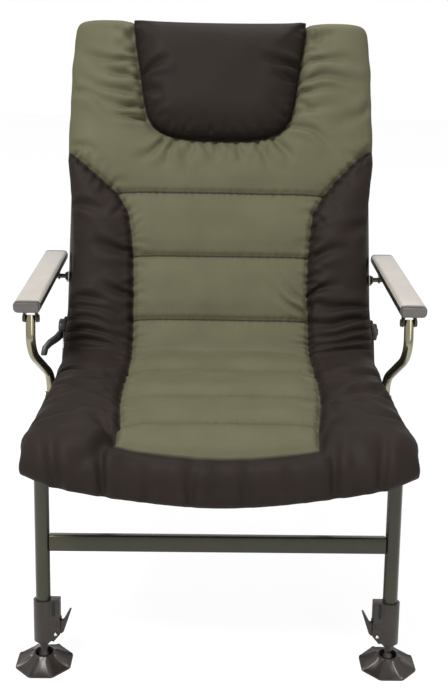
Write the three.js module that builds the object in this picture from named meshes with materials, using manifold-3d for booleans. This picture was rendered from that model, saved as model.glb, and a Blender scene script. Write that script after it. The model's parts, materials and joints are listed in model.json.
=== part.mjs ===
// Carp fishing chair: a folding, reclining armchair on four legs that telescope, each with a cam
// clamp and a swivelling mud foot. Millimetres, +Y to the rear, +Z up. Left and right are as seen
// from the front, so left is towards -X. The origin lies on the ground under the middle of the chair's box.
import * as THREE from 'three';
import { mergeVertices } from 'three/addons/utils/BufferGeometryUtils.js';
import Module from 'manifold-3d';

const wasm = await Module();
wasm.setup();

// Driving dimensions of the frame
const GAP = 0.3;                    // clearance between pieces that touch
const OVERRUN = 2;                  // how far every cut runs past its wall
const WELD = 1e-3;                  // points closer than this are one point
const CENTRE_Y = 79.86;             // from the front bar's datum to the middle of the chair's box

const TUBE_SIDES = 12;
const RAIL_RADIUS = 11;             // seat, back and leg tubes
const RAIL_WALL = 1.3;
const RAIL_X = 258;                 // half the distance between the side rails
const SEAT_Z = 345;                 // height of the seat rails
const SEAT_FRONT_Y = -262;
const SEAT_REAR_Y = 172;
const FRONT_BOW = 24;               // how far the front bar dips in the middle
const FRONT_BEND = 42;
const BOW_SHARE = 0.45;
const BOW_BEND = 120;

const RECLINE = THREE.MathUtils.degToRad(25.7);
const HINGE_INSET = 2;              // ahead of the side rails' ends
const HINGE_RISE = 67;
const HINGE_Y = SEAT_REAR_Y - HINGE_INSET;
const HINGE_Z = SEAT_Z + HINGE_RISE;
const BACK_LENGTH = 535;
const BACK_BEND = 70;
const BACK_TAIL = 13;
const BACK_BAR_SHARE = 0.22;

// Legs: the front pair hangs under the side rails, the rear pair under the rear tube
const LEG_PIVOT_DROP = 27;
const LEG_TOP = 6;
const FRONT_LEG_OFFSET = 4;         // out from the side rail
const FRONT_PIVOT_INSET = 79;       // back from the front bar
const FRONT_LEG_SPLAY = -43;        // from the pivot to the foot
const REAR_LEG_INSET = 53;
const REAR_PIVOT_INSET = 22;
const REAR_LEG_SPLAY = 280;
const FRONT_BAR_DROP = 126;
const REAR_BAR_DROP = 110;
const frontPivotY = SEAT_FRONT_Y + FRONT_PIVOT_INSET;
const rearPivotY = SEAT_REAR_Y - REAR_PIVOT_INSET;
const FRONT_LEG = {
  x: RAIL_X + FRONT_LEG_OFFSET,
  pivotY: frontPivotY,
  footY: frontPivotY + FRONT_LEG_SPLAY,
  barDrop: FRONT_BAR_DROP,
};
const REAR_LEG = {
  x: RAIL_X - REAR_LEG_INSET,
  pivotY: rearPivotY,
  footY: rearPivotY + REAR_LEG_SPLAY,
  barDrop: REAR_BAR_DROP,
};
const BAR_HEIGHT = 25;
const BAR_DEPTH = 15;
const BAR_CORNER = 3;

const EXTENSION_RADIUS = 9.3;
const EXTENSION_WALL = 1.1;
const EXTENSION_LENGTH = 190;
const LEG_END = 32;                 // distances up the leg from the centre of the foot's ball
const SLEEVE_END = 26;
const SLEEVE_LENGTH = 65;
const SLEEVE_RADIUS = 15;
const PLUG_END = 21;
const PLUG_LENGTH = 24;

const BALL_RADIUS = 9;
const BALL_Z = 12.5;
const NECK_RADIUS = 5;
const NECK_LENGTH = 5;
const STEM_RADIUS = 6;
const STEM_LENGTH = 30;
const STEM_CLEARANCE = 0.3;

const CHEEK_GAP = 13;               // cam clamp on the sleeve
const CHEEK_WALL = 3;
const CHEEK_REACH = 26;
const CHEEK_HEIGHT = 34;
const HOOD_REACH = 25;
const CAM_X = 19;
const CAM_RISE = 12;
const CAM_RADIUS = 6;
const CAM_PIN = 2.2;
const LEVER_WALL = 3;
const LEVER_WIDTH = 12;
const LEVER_LENGTH = 38;
const LEVER_ANGLE = THREE.MathUtils.degToRad(17);
const LEVER_FOOT = 12;

const FOOT_APOTHEM = 41;
const FOOT_SIDES = 8;
const FOOT_RIM = 3;
const FOOT_HEIGHT = 20;
const FOOT_TOP_RADIUS = 14.5;
const FOOT_WALL = 2.8;
const FOOT_RIDGE = 2.2;
const FOOT_SLOPE_SHARES = { low: 0.15, inside: 0.5, high: 0.6 };
const CUP_RADIUS = 9.6;
const CUP_FLOOR = 2.4;
const CUP_LIFT = 0.8;
const NOTCH_WIDTH = 13.5;
const NOTCH_REACH = 18.5;
const NOTCH_FLOOR = 11;

const PLATE = 2.5;                  // sheet steel of the pivot brackets
const BRACKET_LENGTH = 34;
const RIVET_RADIUS = 4;
const RIVET_HEAD = 6.5;
const RIVET_HEAD_HEIGHT = 2.5;
const RIVET_SIDES = 12;
const BOLT_SIDES = 6;

// Arm posts and armrests
const POST_RADIUS = 7.5;
const POST_SIDES = 10;
const POST_BEND = 34;
const POST_FOOT_INSET = 150;        // ahead of the hinge
const POST_FOOT_DROP = 3;           // under the rail's middle
const POST_HEEL_BACK = 4;
const POST_HEEL_RISE = 40;
const POST_KNEE_FORWARD = 82;
const POST_KNEE_RISE = 88;
const POST_HEAD_FORWARD = 68;
const POST_HEAD_RISE = 152;
const POST_KICK = 15.2;             // outward between heel and knee
const POST_TAIL = 9;
const POST_TOP = 5.4;               // past the bolt, short enough to turn under the armrest
const postX = RAIL_X + RAIL_RADIUS + GAP + POST_RADIUS;
const POST_FOOT = { y: HINGE_Y - POST_FOOT_INSET, z: SEAT_Z - POST_FOOT_DROP };
const POST_HEEL = { y: POST_FOOT.y + POST_HEEL_BACK, z: POST_FOOT.z + POST_HEEL_RISE };
const POST_KNEE = { y: POST_FOOT.y - POST_KNEE_FORWARD, z: POST_FOOT.z + POST_KNEE_RISE };
const POST_HEAD = {
  x: postX + POST_KICK,
  y: POST_FOOT.y - POST_HEAD_FORWARD,
  z: POST_FOOT.z + POST_HEAD_RISE,
};
const ARM_LUG_LENGTH = 90;          // along the back rail, from the hinge to the armrest pivot
const ARM_LUG_REACH = 22;
const ARM_WIDTH = 41;
const ARM_HEIGHT = 18;
const ARM_CORNER = 7;
const ARM_WALL = 2;
const ARM_LIFT = 28;                // from the pivots up to the middle of the armrest
const ARM_FRONT_OVERHANG = 26;
const ARM_REAR_OVERHANG = 30;
const CAP_LENGTH = 11;
const CAP_PLUG = 16;
const CLEVIS_LENGTH = 26;

// Recline hinge
const HINGE_PLATE = 4;
const HINGE_LOBE = 21;
const HINGE_FOOT = 58;
const TOOTH_COUNT = 11;
const TOOTH_DEPTH = 3;
const TOOTH_SHARES = [0.25, 0.75];  // where a tooth's tip and its root lie
const HINGE_PIN = 5;
const PAWL_RADIUS = 15;
const PAWL_WALL = 7;
const LEVER_SPAN = 53;              // how far forward of the hinge the lever's tip lies
const LEVER_ARM_SHARES = [          // of that span, outward, forward and down along the lever
  { reach: 0, forward: 0.075, drop: 0.057, tilt: 0, size: 1.4 },
  { reach: 0.019, forward: 0.302, drop: 0.113, tilt: 0.1, size: 1.15 },
  { reach: 0.132, forward: 0.547, drop: 0.189, tilt: 0.25, size: 1 },
  { reach: 0.321, forward: 0.755, drop: 0.283, tilt: 0.45, size: 1 },
  { reach: 0.453, forward: 0.906, drop: 0.415, tilt: 0.85, size: 1.1 },
  { reach: 0.491, forward: 1, drop: 0.604, tilt: 1.25, size: 1.1 },
];
const LEVER_ARM_HEIGHT = 11;
const LEVER_ARM_WALL = 6;
const LEVER_SECTION_SHARES = [      // of the lever's thickness and height, round its section
  [-0.5, 0.3], [-0.25, 0.5], [0.25, 0.5], [0.5, 0.3],
  [0.5, -0.3], [0.25, -0.5], [-0.25, -0.5], [-0.5, -0.3],
];

// Fabric and padding
const SLING = 2.5;
const SLING_FRONT_INSET = 57;
const SLING_REAR_INSET = 18;
const SLING_TOP_INSET = 80;
const SLING_FRONT_Y = SEAT_FRONT_Y + SLING_FRONT_INSET;
const SLING_REAR_Y = rearPivotY - SLING_REAR_INSET;
const SLING_TOP = BACK_LENGTH - SLING_TOP_INSET;
const SLING_BOTTOM = 45;
const HEM_OVERLAP = 4;
const HEM_STEPS = 4;

const PAD_OVERHANG = 10;            // past the middle of the side rails
const PAD_HALF_WIDTH = RAIL_X + PAD_OVERHANG;
const PAD_RISE = 44;                // thickness of the mattress at its crown
const PAD_SEAT_INSET = 74;          // ahead of the hinge, where the seat padding starts to fold
const PAD_SEAT_END = HINGE_Y - PAD_SEAT_INSET;
const PAD_BACK_START = 84;          // height up the back where the back padding starts
const PAD_TOP_OVERHANG = 21;
const PAD_BACK_END = BACK_LENGTH + PAD_TOP_OVERHANG;
const PAD_TURN_INSET = 4;
const PAD_TURN_Y = SEAT_FRONT_Y + PAD_TURN_INSET;   // where the padding starts to turn over the front bar
const PAD_TURN_RADIUS = 25;
const LIP_CORNER = 29;              // length of the lip past the start of its turn
const LIP_MIDDLE = 61;
const LIP_EDGE = 8;
const LIP_THIN_SHARE = 0.62;
const LIP_SHARES = [0, 0.11, 0.23, 0.35, 0.48, 0.61, 0.74];
const LIP_SEAM_SHARE = 0.23;
const SEAT_SEAM_SHARES = [0.271, 0.593, 0.898];     // of the way from the fold to the turn
const BACK_SEAM_SHARES = [0.087, 0.341, 0.564];     // of the way up the back padding
const SEAM_SHOULDER = 11;
const SHOULDER_SHARE = 0.3;
const SEAM_DIP_SHARE = 0.3;
const BOLSTER_DIP_SHARE = 0.26;
const SEAT_BOLSTER_SHARES = [[0, 0.61], [0.28, 0.605], [0.56, 0.586], [0.83, 0.54], [1, 0.49]];
const BACK_BOLSTER_SHARES = [
  [0, 0.6], [0.16, 0.61], [0.27, 0.65], [0.34, 0.69], [0.4, 0.77], [0.45, 0.85], [0.55, 0.6],
];
const BACK_GROOVE_SHARES = [[0.4, 1], [0.45, 0.6], [0.5, 0]];
const BACK_WIDTH_SHARES = [[0, 0.968], [0.1, 0.955], [0.3, 0.985], [0.47, 1]];
const FOLD_REACH = 30;
const FOLD_SHARES = [0, 0.06, 0.2, 0.35, 0.5, 0.65, 0.8, 0.94, 1];
const FOLD_SEAM_SHARE = 0.5;
const EDGE_ROUND = 20;
const PILLOW_HALF_WIDTH = 150;
const PILLOW_LENGTH = 228;
const PILLOW_INSET = 6;
const PILLOW_END = PAD_BACK_END - PILLOW_INSET;
const PILLOW_RISE = 34;
const PILLOW_SHARES = [             // along the pillow, then its width and its thickness there
  [0, 0.45, 0.3], [0.013, 0.6, 0.55], [0.035, 0.7, 0.72], [0.08, 0.8, 0.87], [0.157, 0.87, 0.95],
  [0.32, 0.93, 1], [0.53, 0.97, 1], [0.8, 1.03, 1], [0.91, 1.035, 0.96], [0.965, 1.01, 0.75], [1, 0.94, 0.3],
];

const steelGreen = new THREE.MeshStandardMaterial({ color: 0x2f3526, roughness: 0.45, metalness: 0.3 });
const steelBronze = new THREE.MeshStandardMaterial({ color: 0x55523f, roughness: 0.35, metalness: 0.5 });
const brightSteel = new THREE.MeshStandardMaterial({ color: 0xc9c7c2, roughness: 0.3, metalness: 1 });
const armGrey = new THREE.MeshStandardMaterial({ color: 0x9d968c, roughness: 0.45, metalness: 0.4 });
const blackPlastic = new THREE.MeshStandardMaterial({ color: 0x2b2827, roughness: 0.5, metalness: 0 });
const sleevePlastic = new THREE.MeshStandardMaterial({ color: 0x3b3634, roughness: 0.55, metalness: 0 });
const canvas = new THREE.MeshStandardMaterial({ color: 0x23231f, roughness: 0.9, metalness: 0 });
const greenCloth = new THREE.MeshStandardMaterial({ color: 0x656650, roughness: 0.7, metalness: 0 });
const brownCloth = new THREE.MeshStandardMaterial({ color: 0x3a332f, roughness: 0.7, metalness: 0 });

const chair = new THREE.Group();
const ground = new THREE.Group();
ground.position.y = -CENTRE_Y;
chair.add(ground);

function add(parent, name, geometry, material) {
  const mesh = new THREE.Mesh(geometry, material);
  mesh.name = name;
  parent.add(mesh);
  return mesh;
}

function groupAt(parent, x, y, z, turn = 0) {
  const group = new THREE.Group();
  group.position.set(x, y, z);
  group.rotation.x = turn;
  parent.add(group);
  return group;
}

// Solids for cutting and joining
function solid(geometry) {
  const bare = geometry.clone();
  bare.deleteAttribute('normal');
  bare.deleteAttribute('uv');
  const merged = mergeVertices(bare, WELD);
  const vertProperties = new Float32Array(merged.attributes.position.array);
  const triVerts = new Uint32Array(merged.index.array);
  return new wasm.Manifold(new wasm.Mesh({ numProp: 3, vertProperties, triVerts }));
}

function geometryOf(body) {
  const mesh = body.getMesh();
  const geometry = new THREE.BufferGeometry();
  geometry.setAttribute('position', new THREE.BufferAttribute(new Float32Array(mesh.vertProperties), 3));
  geometry.setIndex(new THREE.BufferAttribute(new Uint32Array(mesh.triVerts), 1));
  return geometry;
}

function cut(body, ...tools) {
  return geometryOf(tools.reduce((left, tool) => left.subtract(solid(tool)), solid(body)));
}

function join(...bodies) {
  return geometryOf(bodies.slice(1).reduce((sum, body) => sum.add(solid(body)), solid(bodies[0])));
}

// Basic forms
function ringShape(outer, inner) {
  const shape = new THREE.Shape().absarc(0, 0, outer, 0, 2 * Math.PI);
  if (inner > 0) shape.holes.push(new THREE.Path().absarc(0, 0, inner, 0, 2 * Math.PI, true));
  return shape;
}

function roundedRectangle(width, height, corner) {
  const x = width / 2 - corner;
  const y = height / 2 - corner;
  const shape = new THREE.Shape();
  shape.absarc(x, y, corner, 0, Math.PI / 2);
  shape.absarc(-x, y, corner, Math.PI / 2, Math.PI);
  shape.absarc(-x, -y, corner, Math.PI, 1.5 * Math.PI);
  shape.absarc(x, -y, corner, 1.5 * Math.PI, 2 * Math.PI);
  return shape;
}

function extrude(shape, depth, curveSegments = TUBE_SIDES / 2) {
  return new THREE.ExtrudeGeometry(shape, { depth, bevelEnabled: false, curveSegments });
}

// A flat plate drawn in Y and Z, thick along X, with its first face at x
function plateX(shape, x, thickness, curveSegments) {
  const plate = extrude(shape, thickness, curveSegments);
  plate.rotateY(Math.PI / 2);
  plate.rotateX(Math.PI / 2);
  return plate.translate(x, 0, 0);
}

function rodX(radius, x, length, y = 0, z = 0, sides = RIVET_SIDES) {
  const rod = new THREE.CylinderGeometry(radius, radius, length, sides);
  return rod.rotateZ(Math.PI / 2).translate(x + length / 2, y, z);
}

function rodY(radius, y, length, x = 0, z = 0, sides = RIVET_SIDES) {
  return new THREE.CylinderGeometry(radius, radius, length, sides).translate(x, y + length / 2, z);
}

function lathe(points, sides) {
  const geometry = new THREE.LatheGeometry(points.map(([r, z]) => new THREE.Vector2(r, z)), sides);
  return geometry.rotateX(Math.PI / 2);
}

// A tube's centreline: straight runs between corners, joined by arcs
class BentPath extends THREE.Curve {
  constructor(corners, bends, arcSteps) {
    super();
    this.stations = [corners[0].clone()];
    for (let i = 1; i < corners.length - 1; i += 1) {
      const before = corners[i - 1].clone().sub(corners[i]).normalize();
      const after = corners[i + 1].clone().sub(corners[i]).normalize();
      const half = before.angleTo(after) / 2;
      const radius = bends[i - 1];
      const toArc = radius / Math.tan(half);
      const middle = before.clone().add(after).normalize().multiplyScalar(radius / Math.sin(half));
      const centre = corners[i].clone().add(middle);
      const start = corners[i].clone().addScaledVector(before, toArc).sub(centre);
      const axis = start.clone().cross(before).normalize().negate();
      const sweep = Math.PI - 2 * half;
      for (let step = 0; step <= arcSteps; step += 1) {
        const arm = start.clone().applyAxisAngle(axis, (sweep * step) / arcSteps);
        this.stations.push(centre.clone().add(arm));
      }
    }
    this.stations.push(corners[corners.length - 1].clone());
    this.steps = this.stations.length - 1;
  }

  getPointAt(share) {
    return this.stations[Math.round(share * this.steps)].clone();
  }

  getTangentAt(share) {
    const i = Math.round(share * this.steps);
    const next = this.stations[Math.min(i + 1, this.steps)];
    const last = this.stations[Math.max(i - 1, 0)];
    return next.clone().sub(last).normalize();
  }
}

function bentTube(corners, bends, arcSteps, outer, inner, sides) {
  const path = new BentPath(corners.map(([x, y, z]) => new THREE.Vector3(x, y, z)), bends, arcSteps);
  return new THREE.ExtrudeGeometry(ringShape(outer, inner), {
    steps: path.steps,
    extrudePath: path,
    curveSegments: sides / 2,
  });
}

// A body skinned over closed rings of points, with both ends closed. Each ring runs over its upper
// side and back along its lower side, so the ends close with strips between the two sides.
function loft(rings) {
  const count = rings[0].length;
  const index = [];
  for (let row = 0; row < rings.length - 1; row += 1) {
    for (let i = 0; i < count; i += 1) {
      const a = row * count + i;
      const b = row * count + ((i + 1) % count);
      index.push(a, b, a + count, b, b + count, a + count);
    }
  }
  const last = (rings.length - 1) * count;
  for (let i = 0; i < count / 2 - 1; i += 1) {
    const [a, b, c, d] = [i, i + 1, count - 2 - i, count - 1 - i];
    index.push(a, d, b, b, d, c);
    index.push(last + a, last + b, last + d, last + b, last + c, last + d);
  }
  const geometry = new THREE.BufferGeometry().setFromPoints(rings.flat());
  geometry.setIndex(index);
  return geometry;
}

// Seat frame: one bent tube for both sides and the bowed front, and a straight rear tube
const rivetHole = RIVET_RADIUS + GAP;
const railTop = RAIL_RADIUS + GAP;
const railInner = RAIL_RADIUS - RAIL_WALL;

function seatRail() {
  const bow = RAIL_X * BOW_SHARE;
  const dip = SEAT_Z - FRONT_BOW;
  const corners = [
    [-RAIL_X, SEAT_REAR_Y, SEAT_Z], [-RAIL_X, SEAT_FRONT_Y, SEAT_Z], [-bow, SEAT_FRONT_Y, dip],
    [bow, SEAT_FRONT_Y, dip], [RAIL_X, SEAT_FRONT_Y, SEAT_Z], [RAIL_X, SEAT_REAR_Y, SEAT_Z],
  ];
  const bends = [FRONT_BEND, BOW_BEND, BOW_BEND, FRONT_BEND];
  const tube = bentTube(corners, bends, 4, RAIL_RADIUS, railInner, TUBE_SIDES);
  const reach = RAIL_RADIUS + OVERRUN;
  const holes = [-RAIL_X - reach, RAIL_X].map((x) => rodX(rivetHole, x, reach, POST_FOOT.y, POST_FOOT.z));
  return cut(tube, ...holes);
}

function straightTubeX(halfLength, outer, inner, y, z) {
  const tube = extrude(ringShape(outer, inner), 2 * halfLength);
  return tube.rotateY(Math.PI / 2).translate(-halfLength, y, z);
}

add(ground, 'seat_rail', seatRail(), steelGreen);
const rearTubeHalf = RAIL_X - RAIL_RADIUS - GAP;
add(ground, 'seat_rear_tube',
  straightTubeX(rearTubeHalf, RAIL_RADIUS, railInner, REAR_LEG.pivotY, SEAT_Z), steelGreen);

// Pivot brackets: folded steel channels under the frame, one over each leg, with a rivet across
const pivotZ = SEAT_Z - LEG_PIVOT_DROP;
const cheekInner = RAIL_RADIUS + GAP;

function rivet(halfGrip) {
  const shank = rodX(RIVET_RADIUS, -halfGrip, 2 * halfGrip, 0, pivotZ);
  const heads = [-halfGrip - RIVET_HEAD_HEIGHT, halfGrip].map((x) => (
    rodX(RIVET_HEAD, x, RIVET_HEAD_HEIGHT, 0, pivotZ)));
  return join(shank, ...heads);
}

function legBracket() {
  const top = SEAT_Z - RAIL_RADIUS - GAP;
  const half = cheekInner + PLATE;
  const bottom = pivotZ - RIVET_HEAD - PLATE;
  const low = RIVET_HEAD + PLATE;
  const web = new THREE.BoxGeometry(2 * half, BRACKET_LENGTH, PLATE).translate(0, 0, top - PLATE / 2);
  const cheeks = [-half, cheekInner].map((x) => {
    const outline = new THREE.Shape();
    outline.moveTo(low, bottom);
    outline.lineTo(BRACKET_LENGTH / 2, top - PLATE);
    outline.lineTo(BRACKET_LENGTH / 2, top);
    outline.lineTo(-BRACKET_LENGTH / 2, top);
    outline.lineTo(-BRACKET_LENGTH / 2, top - PLATE);
    outline.lineTo(-low, bottom);
    return plateX(outline, x, PLATE);
  });
  return join(web, ...cheeks, rivet(half));
}

// The same piece on the other side of the chair, with its faces still pointing out
function mirrored(geometry, side) {
  if (side > 0) return geometry;
  const copy = geometry.index ? geometry.clone() : mergeVertices(geometry.clone());
  copy.scale(-1, 1, 1);
  const index = Array.from(copy.index.array);
  for (let i = 0; i < index.length; i += 3) [index[i], index[i + 1]] = [index[i + 1], index[i]];
  copy.setIndex(index);
  return copy;
}

const SIDES = [['left', -1], ['right', 1]];

function postRivet() {
  const inner = RAIL_X + railInner / 2;
  const outer = postX + POST_RADIUS + GAP;
  const shank = rodX(RIVET_RADIUS, inner, outer - inner, POST_FOOT.y, POST_FOOT.z);
  const head = rodX(RIVET_HEAD, outer, RIVET_HEAD_HEIGHT, POST_FOOT.y, POST_FOOT.z);
  return join(shank, head);
}

for (const [name, side] of SIDES) {
  for (const [prefix, leg] of [['front', FRONT_LEG], ['rear', REAR_LEG]]) {
    const bracket = legBracket().translate(side * leg.x, leg.pivotY, 0);
    add(ground, `${prefix}_leg_bracket_${name}`, bracket, steelGreen);
  }
  add(ground, `post_rivet_${name}`, mirrored(postRivet(), side), brightSteel);
}

// Recline hinge: a toothed steel plate on the outside of each seat rail, a pin through the plate and
// the back rail, and a moulded pawl outside it. The left pawl has the release lever.
const plateX0 = RAIL_X + RAIL_RADIUS + GAP;
const hingePinHole = HINGE_PIN + GAP;

function hingePlate() {
  const outline = new THREE.Shape();
  const footY = HINGE_Y - HINGE_FOOT;
  const footTop = SEAT_Z + RAIL_RADIUS / 2;
  outline.moveTo(footY, SEAT_Z - RAIL_RADIUS / 2);
  outline.lineTo(SEAT_REAR_Y, SEAT_Z - RAIL_RADIUS / 2);
  outline.lineTo(HINGE_Y + HINGE_LOBE, HINGE_Z);
  const toothTurn = Math.PI / TOOTH_COUNT;
  for (let tooth = 0; tooth < TOOTH_COUNT; tooth += 1) {
    const angle = tooth * toothTurn;
    TOOTH_SHARES.forEach((share, i) => {
      const radius = HINGE_LOBE - i * TOOTH_DEPTH;
      const at = angle + share * toothTurn;
      outline.lineTo(HINGE_Y + radius * Math.cos(at), HINGE_Z + radius * Math.sin(at));
    });
  }
  outline.lineTo(HINGE_Y - HINGE_LOBE, HINGE_Z);
  outline.lineTo(footY, footTop);
  outline.closePath();
  return join(plateX(outline, plateX0, HINGE_PLATE), hingePin());
}

function hingePin() {
  const inner = RAIL_X - RAIL_RADIUS - GAP;
  const outer = plateX0 + HINGE_PLATE + GAP + PAWL_WALL + GAP;
  const shank = rodX(HINGE_PIN, inner, outer - inner, HINGE_Y, HINGE_Z);
  const heads = [inner - RIVET_HEAD_HEIGHT, outer].map((x) => (
    rodX(RIVET_HEAD, x, RIVET_HEAD_HEIGHT, HINGE_Y, HINGE_Z)));
  return join(shank, ...heads);
}

for (const [name, side] of SIDES) {
  add(ground, `hinge_plate_${name}`, mirrored(hingePlate(), side), steelGreen);
}

const pawlX = plateX0 + HINGE_PLATE + GAP;

function pawlHub() {
  const hub = rodX(PAWL_RADIUS, pawlX, PAWL_WALL, HINGE_Y, HINGE_Z, 2 * TUBE_SIDES);
  const bore = rodX(hingePinHole, pawlX - OVERRUN, PAWL_WALL + 2 * OVERRUN, HINGE_Y, HINGE_Z);
  return [hub, bore];
}

function reclineLever() {
  const [hub, bore] = pawlHub();
  const middleX = pawlX + PAWL_WALL / 2;
  const rings = LEVER_ARM_SHARES.map(({ reach, forward, drop, tilt, size }) => {
    const centre = new THREE.Vector3(reach, -forward, -drop).multiplyScalar(LEVER_SPAN)
      .add(new THREE.Vector3(middleX, HINGE_Y, HINGE_Z));
    const up = new THREE.Vector3(0, -Math.sin(tilt), Math.cos(tilt));
    return LEVER_SECTION_SHARES.map(([across, high]) => centre.clone()
      .addScaledVector(up, high * LEVER_ARM_HEIGHT * size)
      .add(new THREE.Vector3(across * LEVER_ARM_WALL, 0, 0)));
  });
  return cut(join(hub, loft(rings.reverse())), bore);
}

add(ground, 'hinge_cover_right', cut(...pawlHub()), blackPlastic);
const leverGroup = groupAt(ground, 0, 0, 0);
add(leverGroup, 'recline_lever', mirrored(reclineLever(), -1), blackPlastic);

// Leg sets. Everything on a leg is drawn down its own axis from the pivot and then leaned.
function legAngle(leg) {
  return Math.atan2(leg.footY - leg.pivotY, pivotZ - BALL_Z);
}

function legLength(leg) {
  return Math.hypot(leg.footY - leg.pivotY, pivotZ - BALL_Z);
}

function legTube(length) {
  const bottom = LEG_END - length;
  const tube = extrude(ringShape(RAIL_RADIUS, railInner), LEG_TOP - bottom).translate(0, 0, bottom);
  return cut(tube, rodX(rivetHole, -cheekInner - OVERRUN, 2 * (cheekInner + OVERRUN)));
}

function crossBar(halfLength, drop) {
  const section = roundedRectangle(BAR_HEIGHT, BAR_DEPTH, BAR_CORNER);
  const inner = BAR_CORNER - RAIL_WALL;
  section.holes.push(roundedRectangle(BAR_HEIGHT - 2 * RAIL_WALL, BAR_DEPTH - 2 * RAIL_WALL, inner));
  return extrude(section, 2 * halfLength, 2).rotateY(Math.PI / 2).translate(-halfLength, 0, -drop);
}

// The sleeve clamps the telescoping tube. Its housing has two cheeks on the chair's inner side,
// and a hood above them that the lever closes against.
function sleeve(length) {
  const bottom = SLEEVE_END - length;
  const top = bottom + SLEEVE_LENGTH;
  const collar = extrude(ringShape(SLEEVE_RADIUS, 0), SLEEVE_LENGTH).translate(0, 0, bottom);
  const cheekOuter = CHEEK_GAP / 2 + CHEEK_WALL;
  const cheekBottom = bottom + CAM_RISE;
  const outline = new THREE.Shape();
  outline.moveTo(0, cheekBottom - CAM_RISE / 2);
  outline.lineTo(CAM_X - CAM_RADIUS / 2, cheekBottom - CAM_RISE);
  outline.lineTo(CHEEK_REACH, cheekBottom);
  outline.lineTo(CHEEK_REACH, cheekBottom + CHEEK_HEIGHT - CAM_RISE);
  outline.lineTo(0, cheekBottom + CHEEK_HEIGHT - CAM_RISE);
  outline.closePath();
  const cheeks = [-cheekOuter, CHEEK_GAP / 2].map((y) => (
    extrude(outline, CHEEK_WALL).rotateX(Math.PI / 2).translate(0, y + CHEEK_WALL, 0)));
  const hoodBottom = cheekBottom + CHEEK_HEIGHT - CAM_RISE - WELD;
  const hood = new THREE.BoxGeometry(HOOD_REACH, 2 * cheekOuter, top - hoodBottom)
    .translate(HOOD_REACH / 2, 0, (top + hoodBottom) / 2);
  const hoodRoom = new THREE.BoxGeometry(HOOD_REACH, CHEEK_GAP, top - hoodBottom)
    .translate(HOOD_REACH / 2 - CHEEK_WALL, 0, (top + hoodBottom) / 2 - CHEEK_WALL);
  const slot = new THREE.BoxGeometry(CHEEK_REACH + OVERRUN, CHEEK_GAP, CHEEK_HEIGHT)
    .translate((CHEEK_REACH + OVERRUN) / 2, 0, cheekBottom - CAM_RISE + CHEEK_HEIGHT / 2);
  const tubeBore = extrude(ringShape(RAIL_RADIUS + GAP, 0), length)
    .translate(0, 0, LEG_END - length - GAP);
  const extensionBore = extrude(ringShape(EXTENSION_RADIUS + GAP, 0), length)
    .translate(0, 0, bottom - OVERRUN);
  return join(cut(join(collar, ...cheeks, hood), hoodRoom, slot, tubeBore, extensionBore), camPin(length));
}

function camPin(length) {
  const z = SLEEVE_END - length + CAM_RISE;
  const half = CHEEK_GAP / 2 + CHEEK_WALL;
  const shank = rodY(CAM_PIN, -half, 2 * half, CAM_X, z);
  const heads = [-half - RIVET_HEAD_HEIGHT / 2, half].map((y) => (
    rodY(2 * CAM_PIN, y, RIVET_HEAD_HEIGHT / 2, CAM_X, z)));
  return join(shank, ...heads);
}

// Drawn about its own pivot: an eccentric cam with a blade that leans out from the leg
function camLever() {
  const blade = new THREE.Shape();
  blade.absarc(0, 0, CAM_RADIUS, Math.PI / 2 + LEVER_ANGLE, 2 * Math.PI, false);
  blade.lineTo(LEVER_FOOT - LEVER_WALL, 0);
  blade.lineTo(LEVER_FOOT, LEVER_WALL);
  const tipX = LEVER_FOOT + LEVER_LENGTH * Math.sin(LEVER_ANGLE);
  const tipZ = LEVER_LENGTH * Math.cos(LEVER_ANGLE);
  blade.lineTo(tipX, tipZ);
  blade.lineTo(tipX - LEVER_WALL, tipZ);
  blade.lineTo(LEVER_FOOT - LEVER_WALL / 2, LEVER_LENGTH / 2);
  blade.lineTo(LEVER_WALL, LEVER_LENGTH / 2);
  blade.closePath();
  const body = extrude(blade, LEVER_WIDTH).rotateX(Math.PI / 2).translate(0, LEVER_WIDTH / 2, 0);
  return cut(body, rodY(CAM_PIN + GAP, -LEVER_WIDTH, 2 * LEVER_WIDTH));
}

// The telescoping tube and the plug pressed into its end, bored for the stud
function extension(length) {
  const bore = STEM_RADIUS + STEM_CLEARANCE;
  const low = PLUG_END - length;
  const inner = EXTENSION_RADIUS - EXTENSION_WALL;
  return lathe([
    [bore, low], [EXTENSION_RADIUS, low], [EXTENSION_RADIUS, low + EXTENSION_LENGTH],
    [inner, low + EXTENSION_LENGTH], [inner, low + PLUG_LENGTH], [bore, low + PLUG_LENGTH], [bore, low],
  ], TUBE_SIDES);
}

// Drawn about the centre of its ball, up the leg
function ballStud() {
  const profile = [[0, -BALL_RADIUS]];
  const neckAngle = Math.asin(NECK_RADIUS / BALL_RADIUS);
  const rings = 5;
  for (let i = 1; i <= rings; i += 1) {
    const angle = ((Math.PI - neckAngle) * i) / rings;
    profile.push([BALL_RADIUS * Math.sin(angle), -BALL_RADIUS * Math.cos(angle)]);
  }
  const neckTop = BALL_RADIUS * Math.cos(neckAngle) + NECK_LENGTH;
  profile.push([NECK_RADIUS, neckTop], [STEM_RADIUS, neckTop], [STEM_RADIUS, neckTop + STEM_LENGTH]);
  profile.push([0, neckTop + STEM_LENGTH]);
  return lathe(profile, TUBE_SIDES);
}

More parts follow.
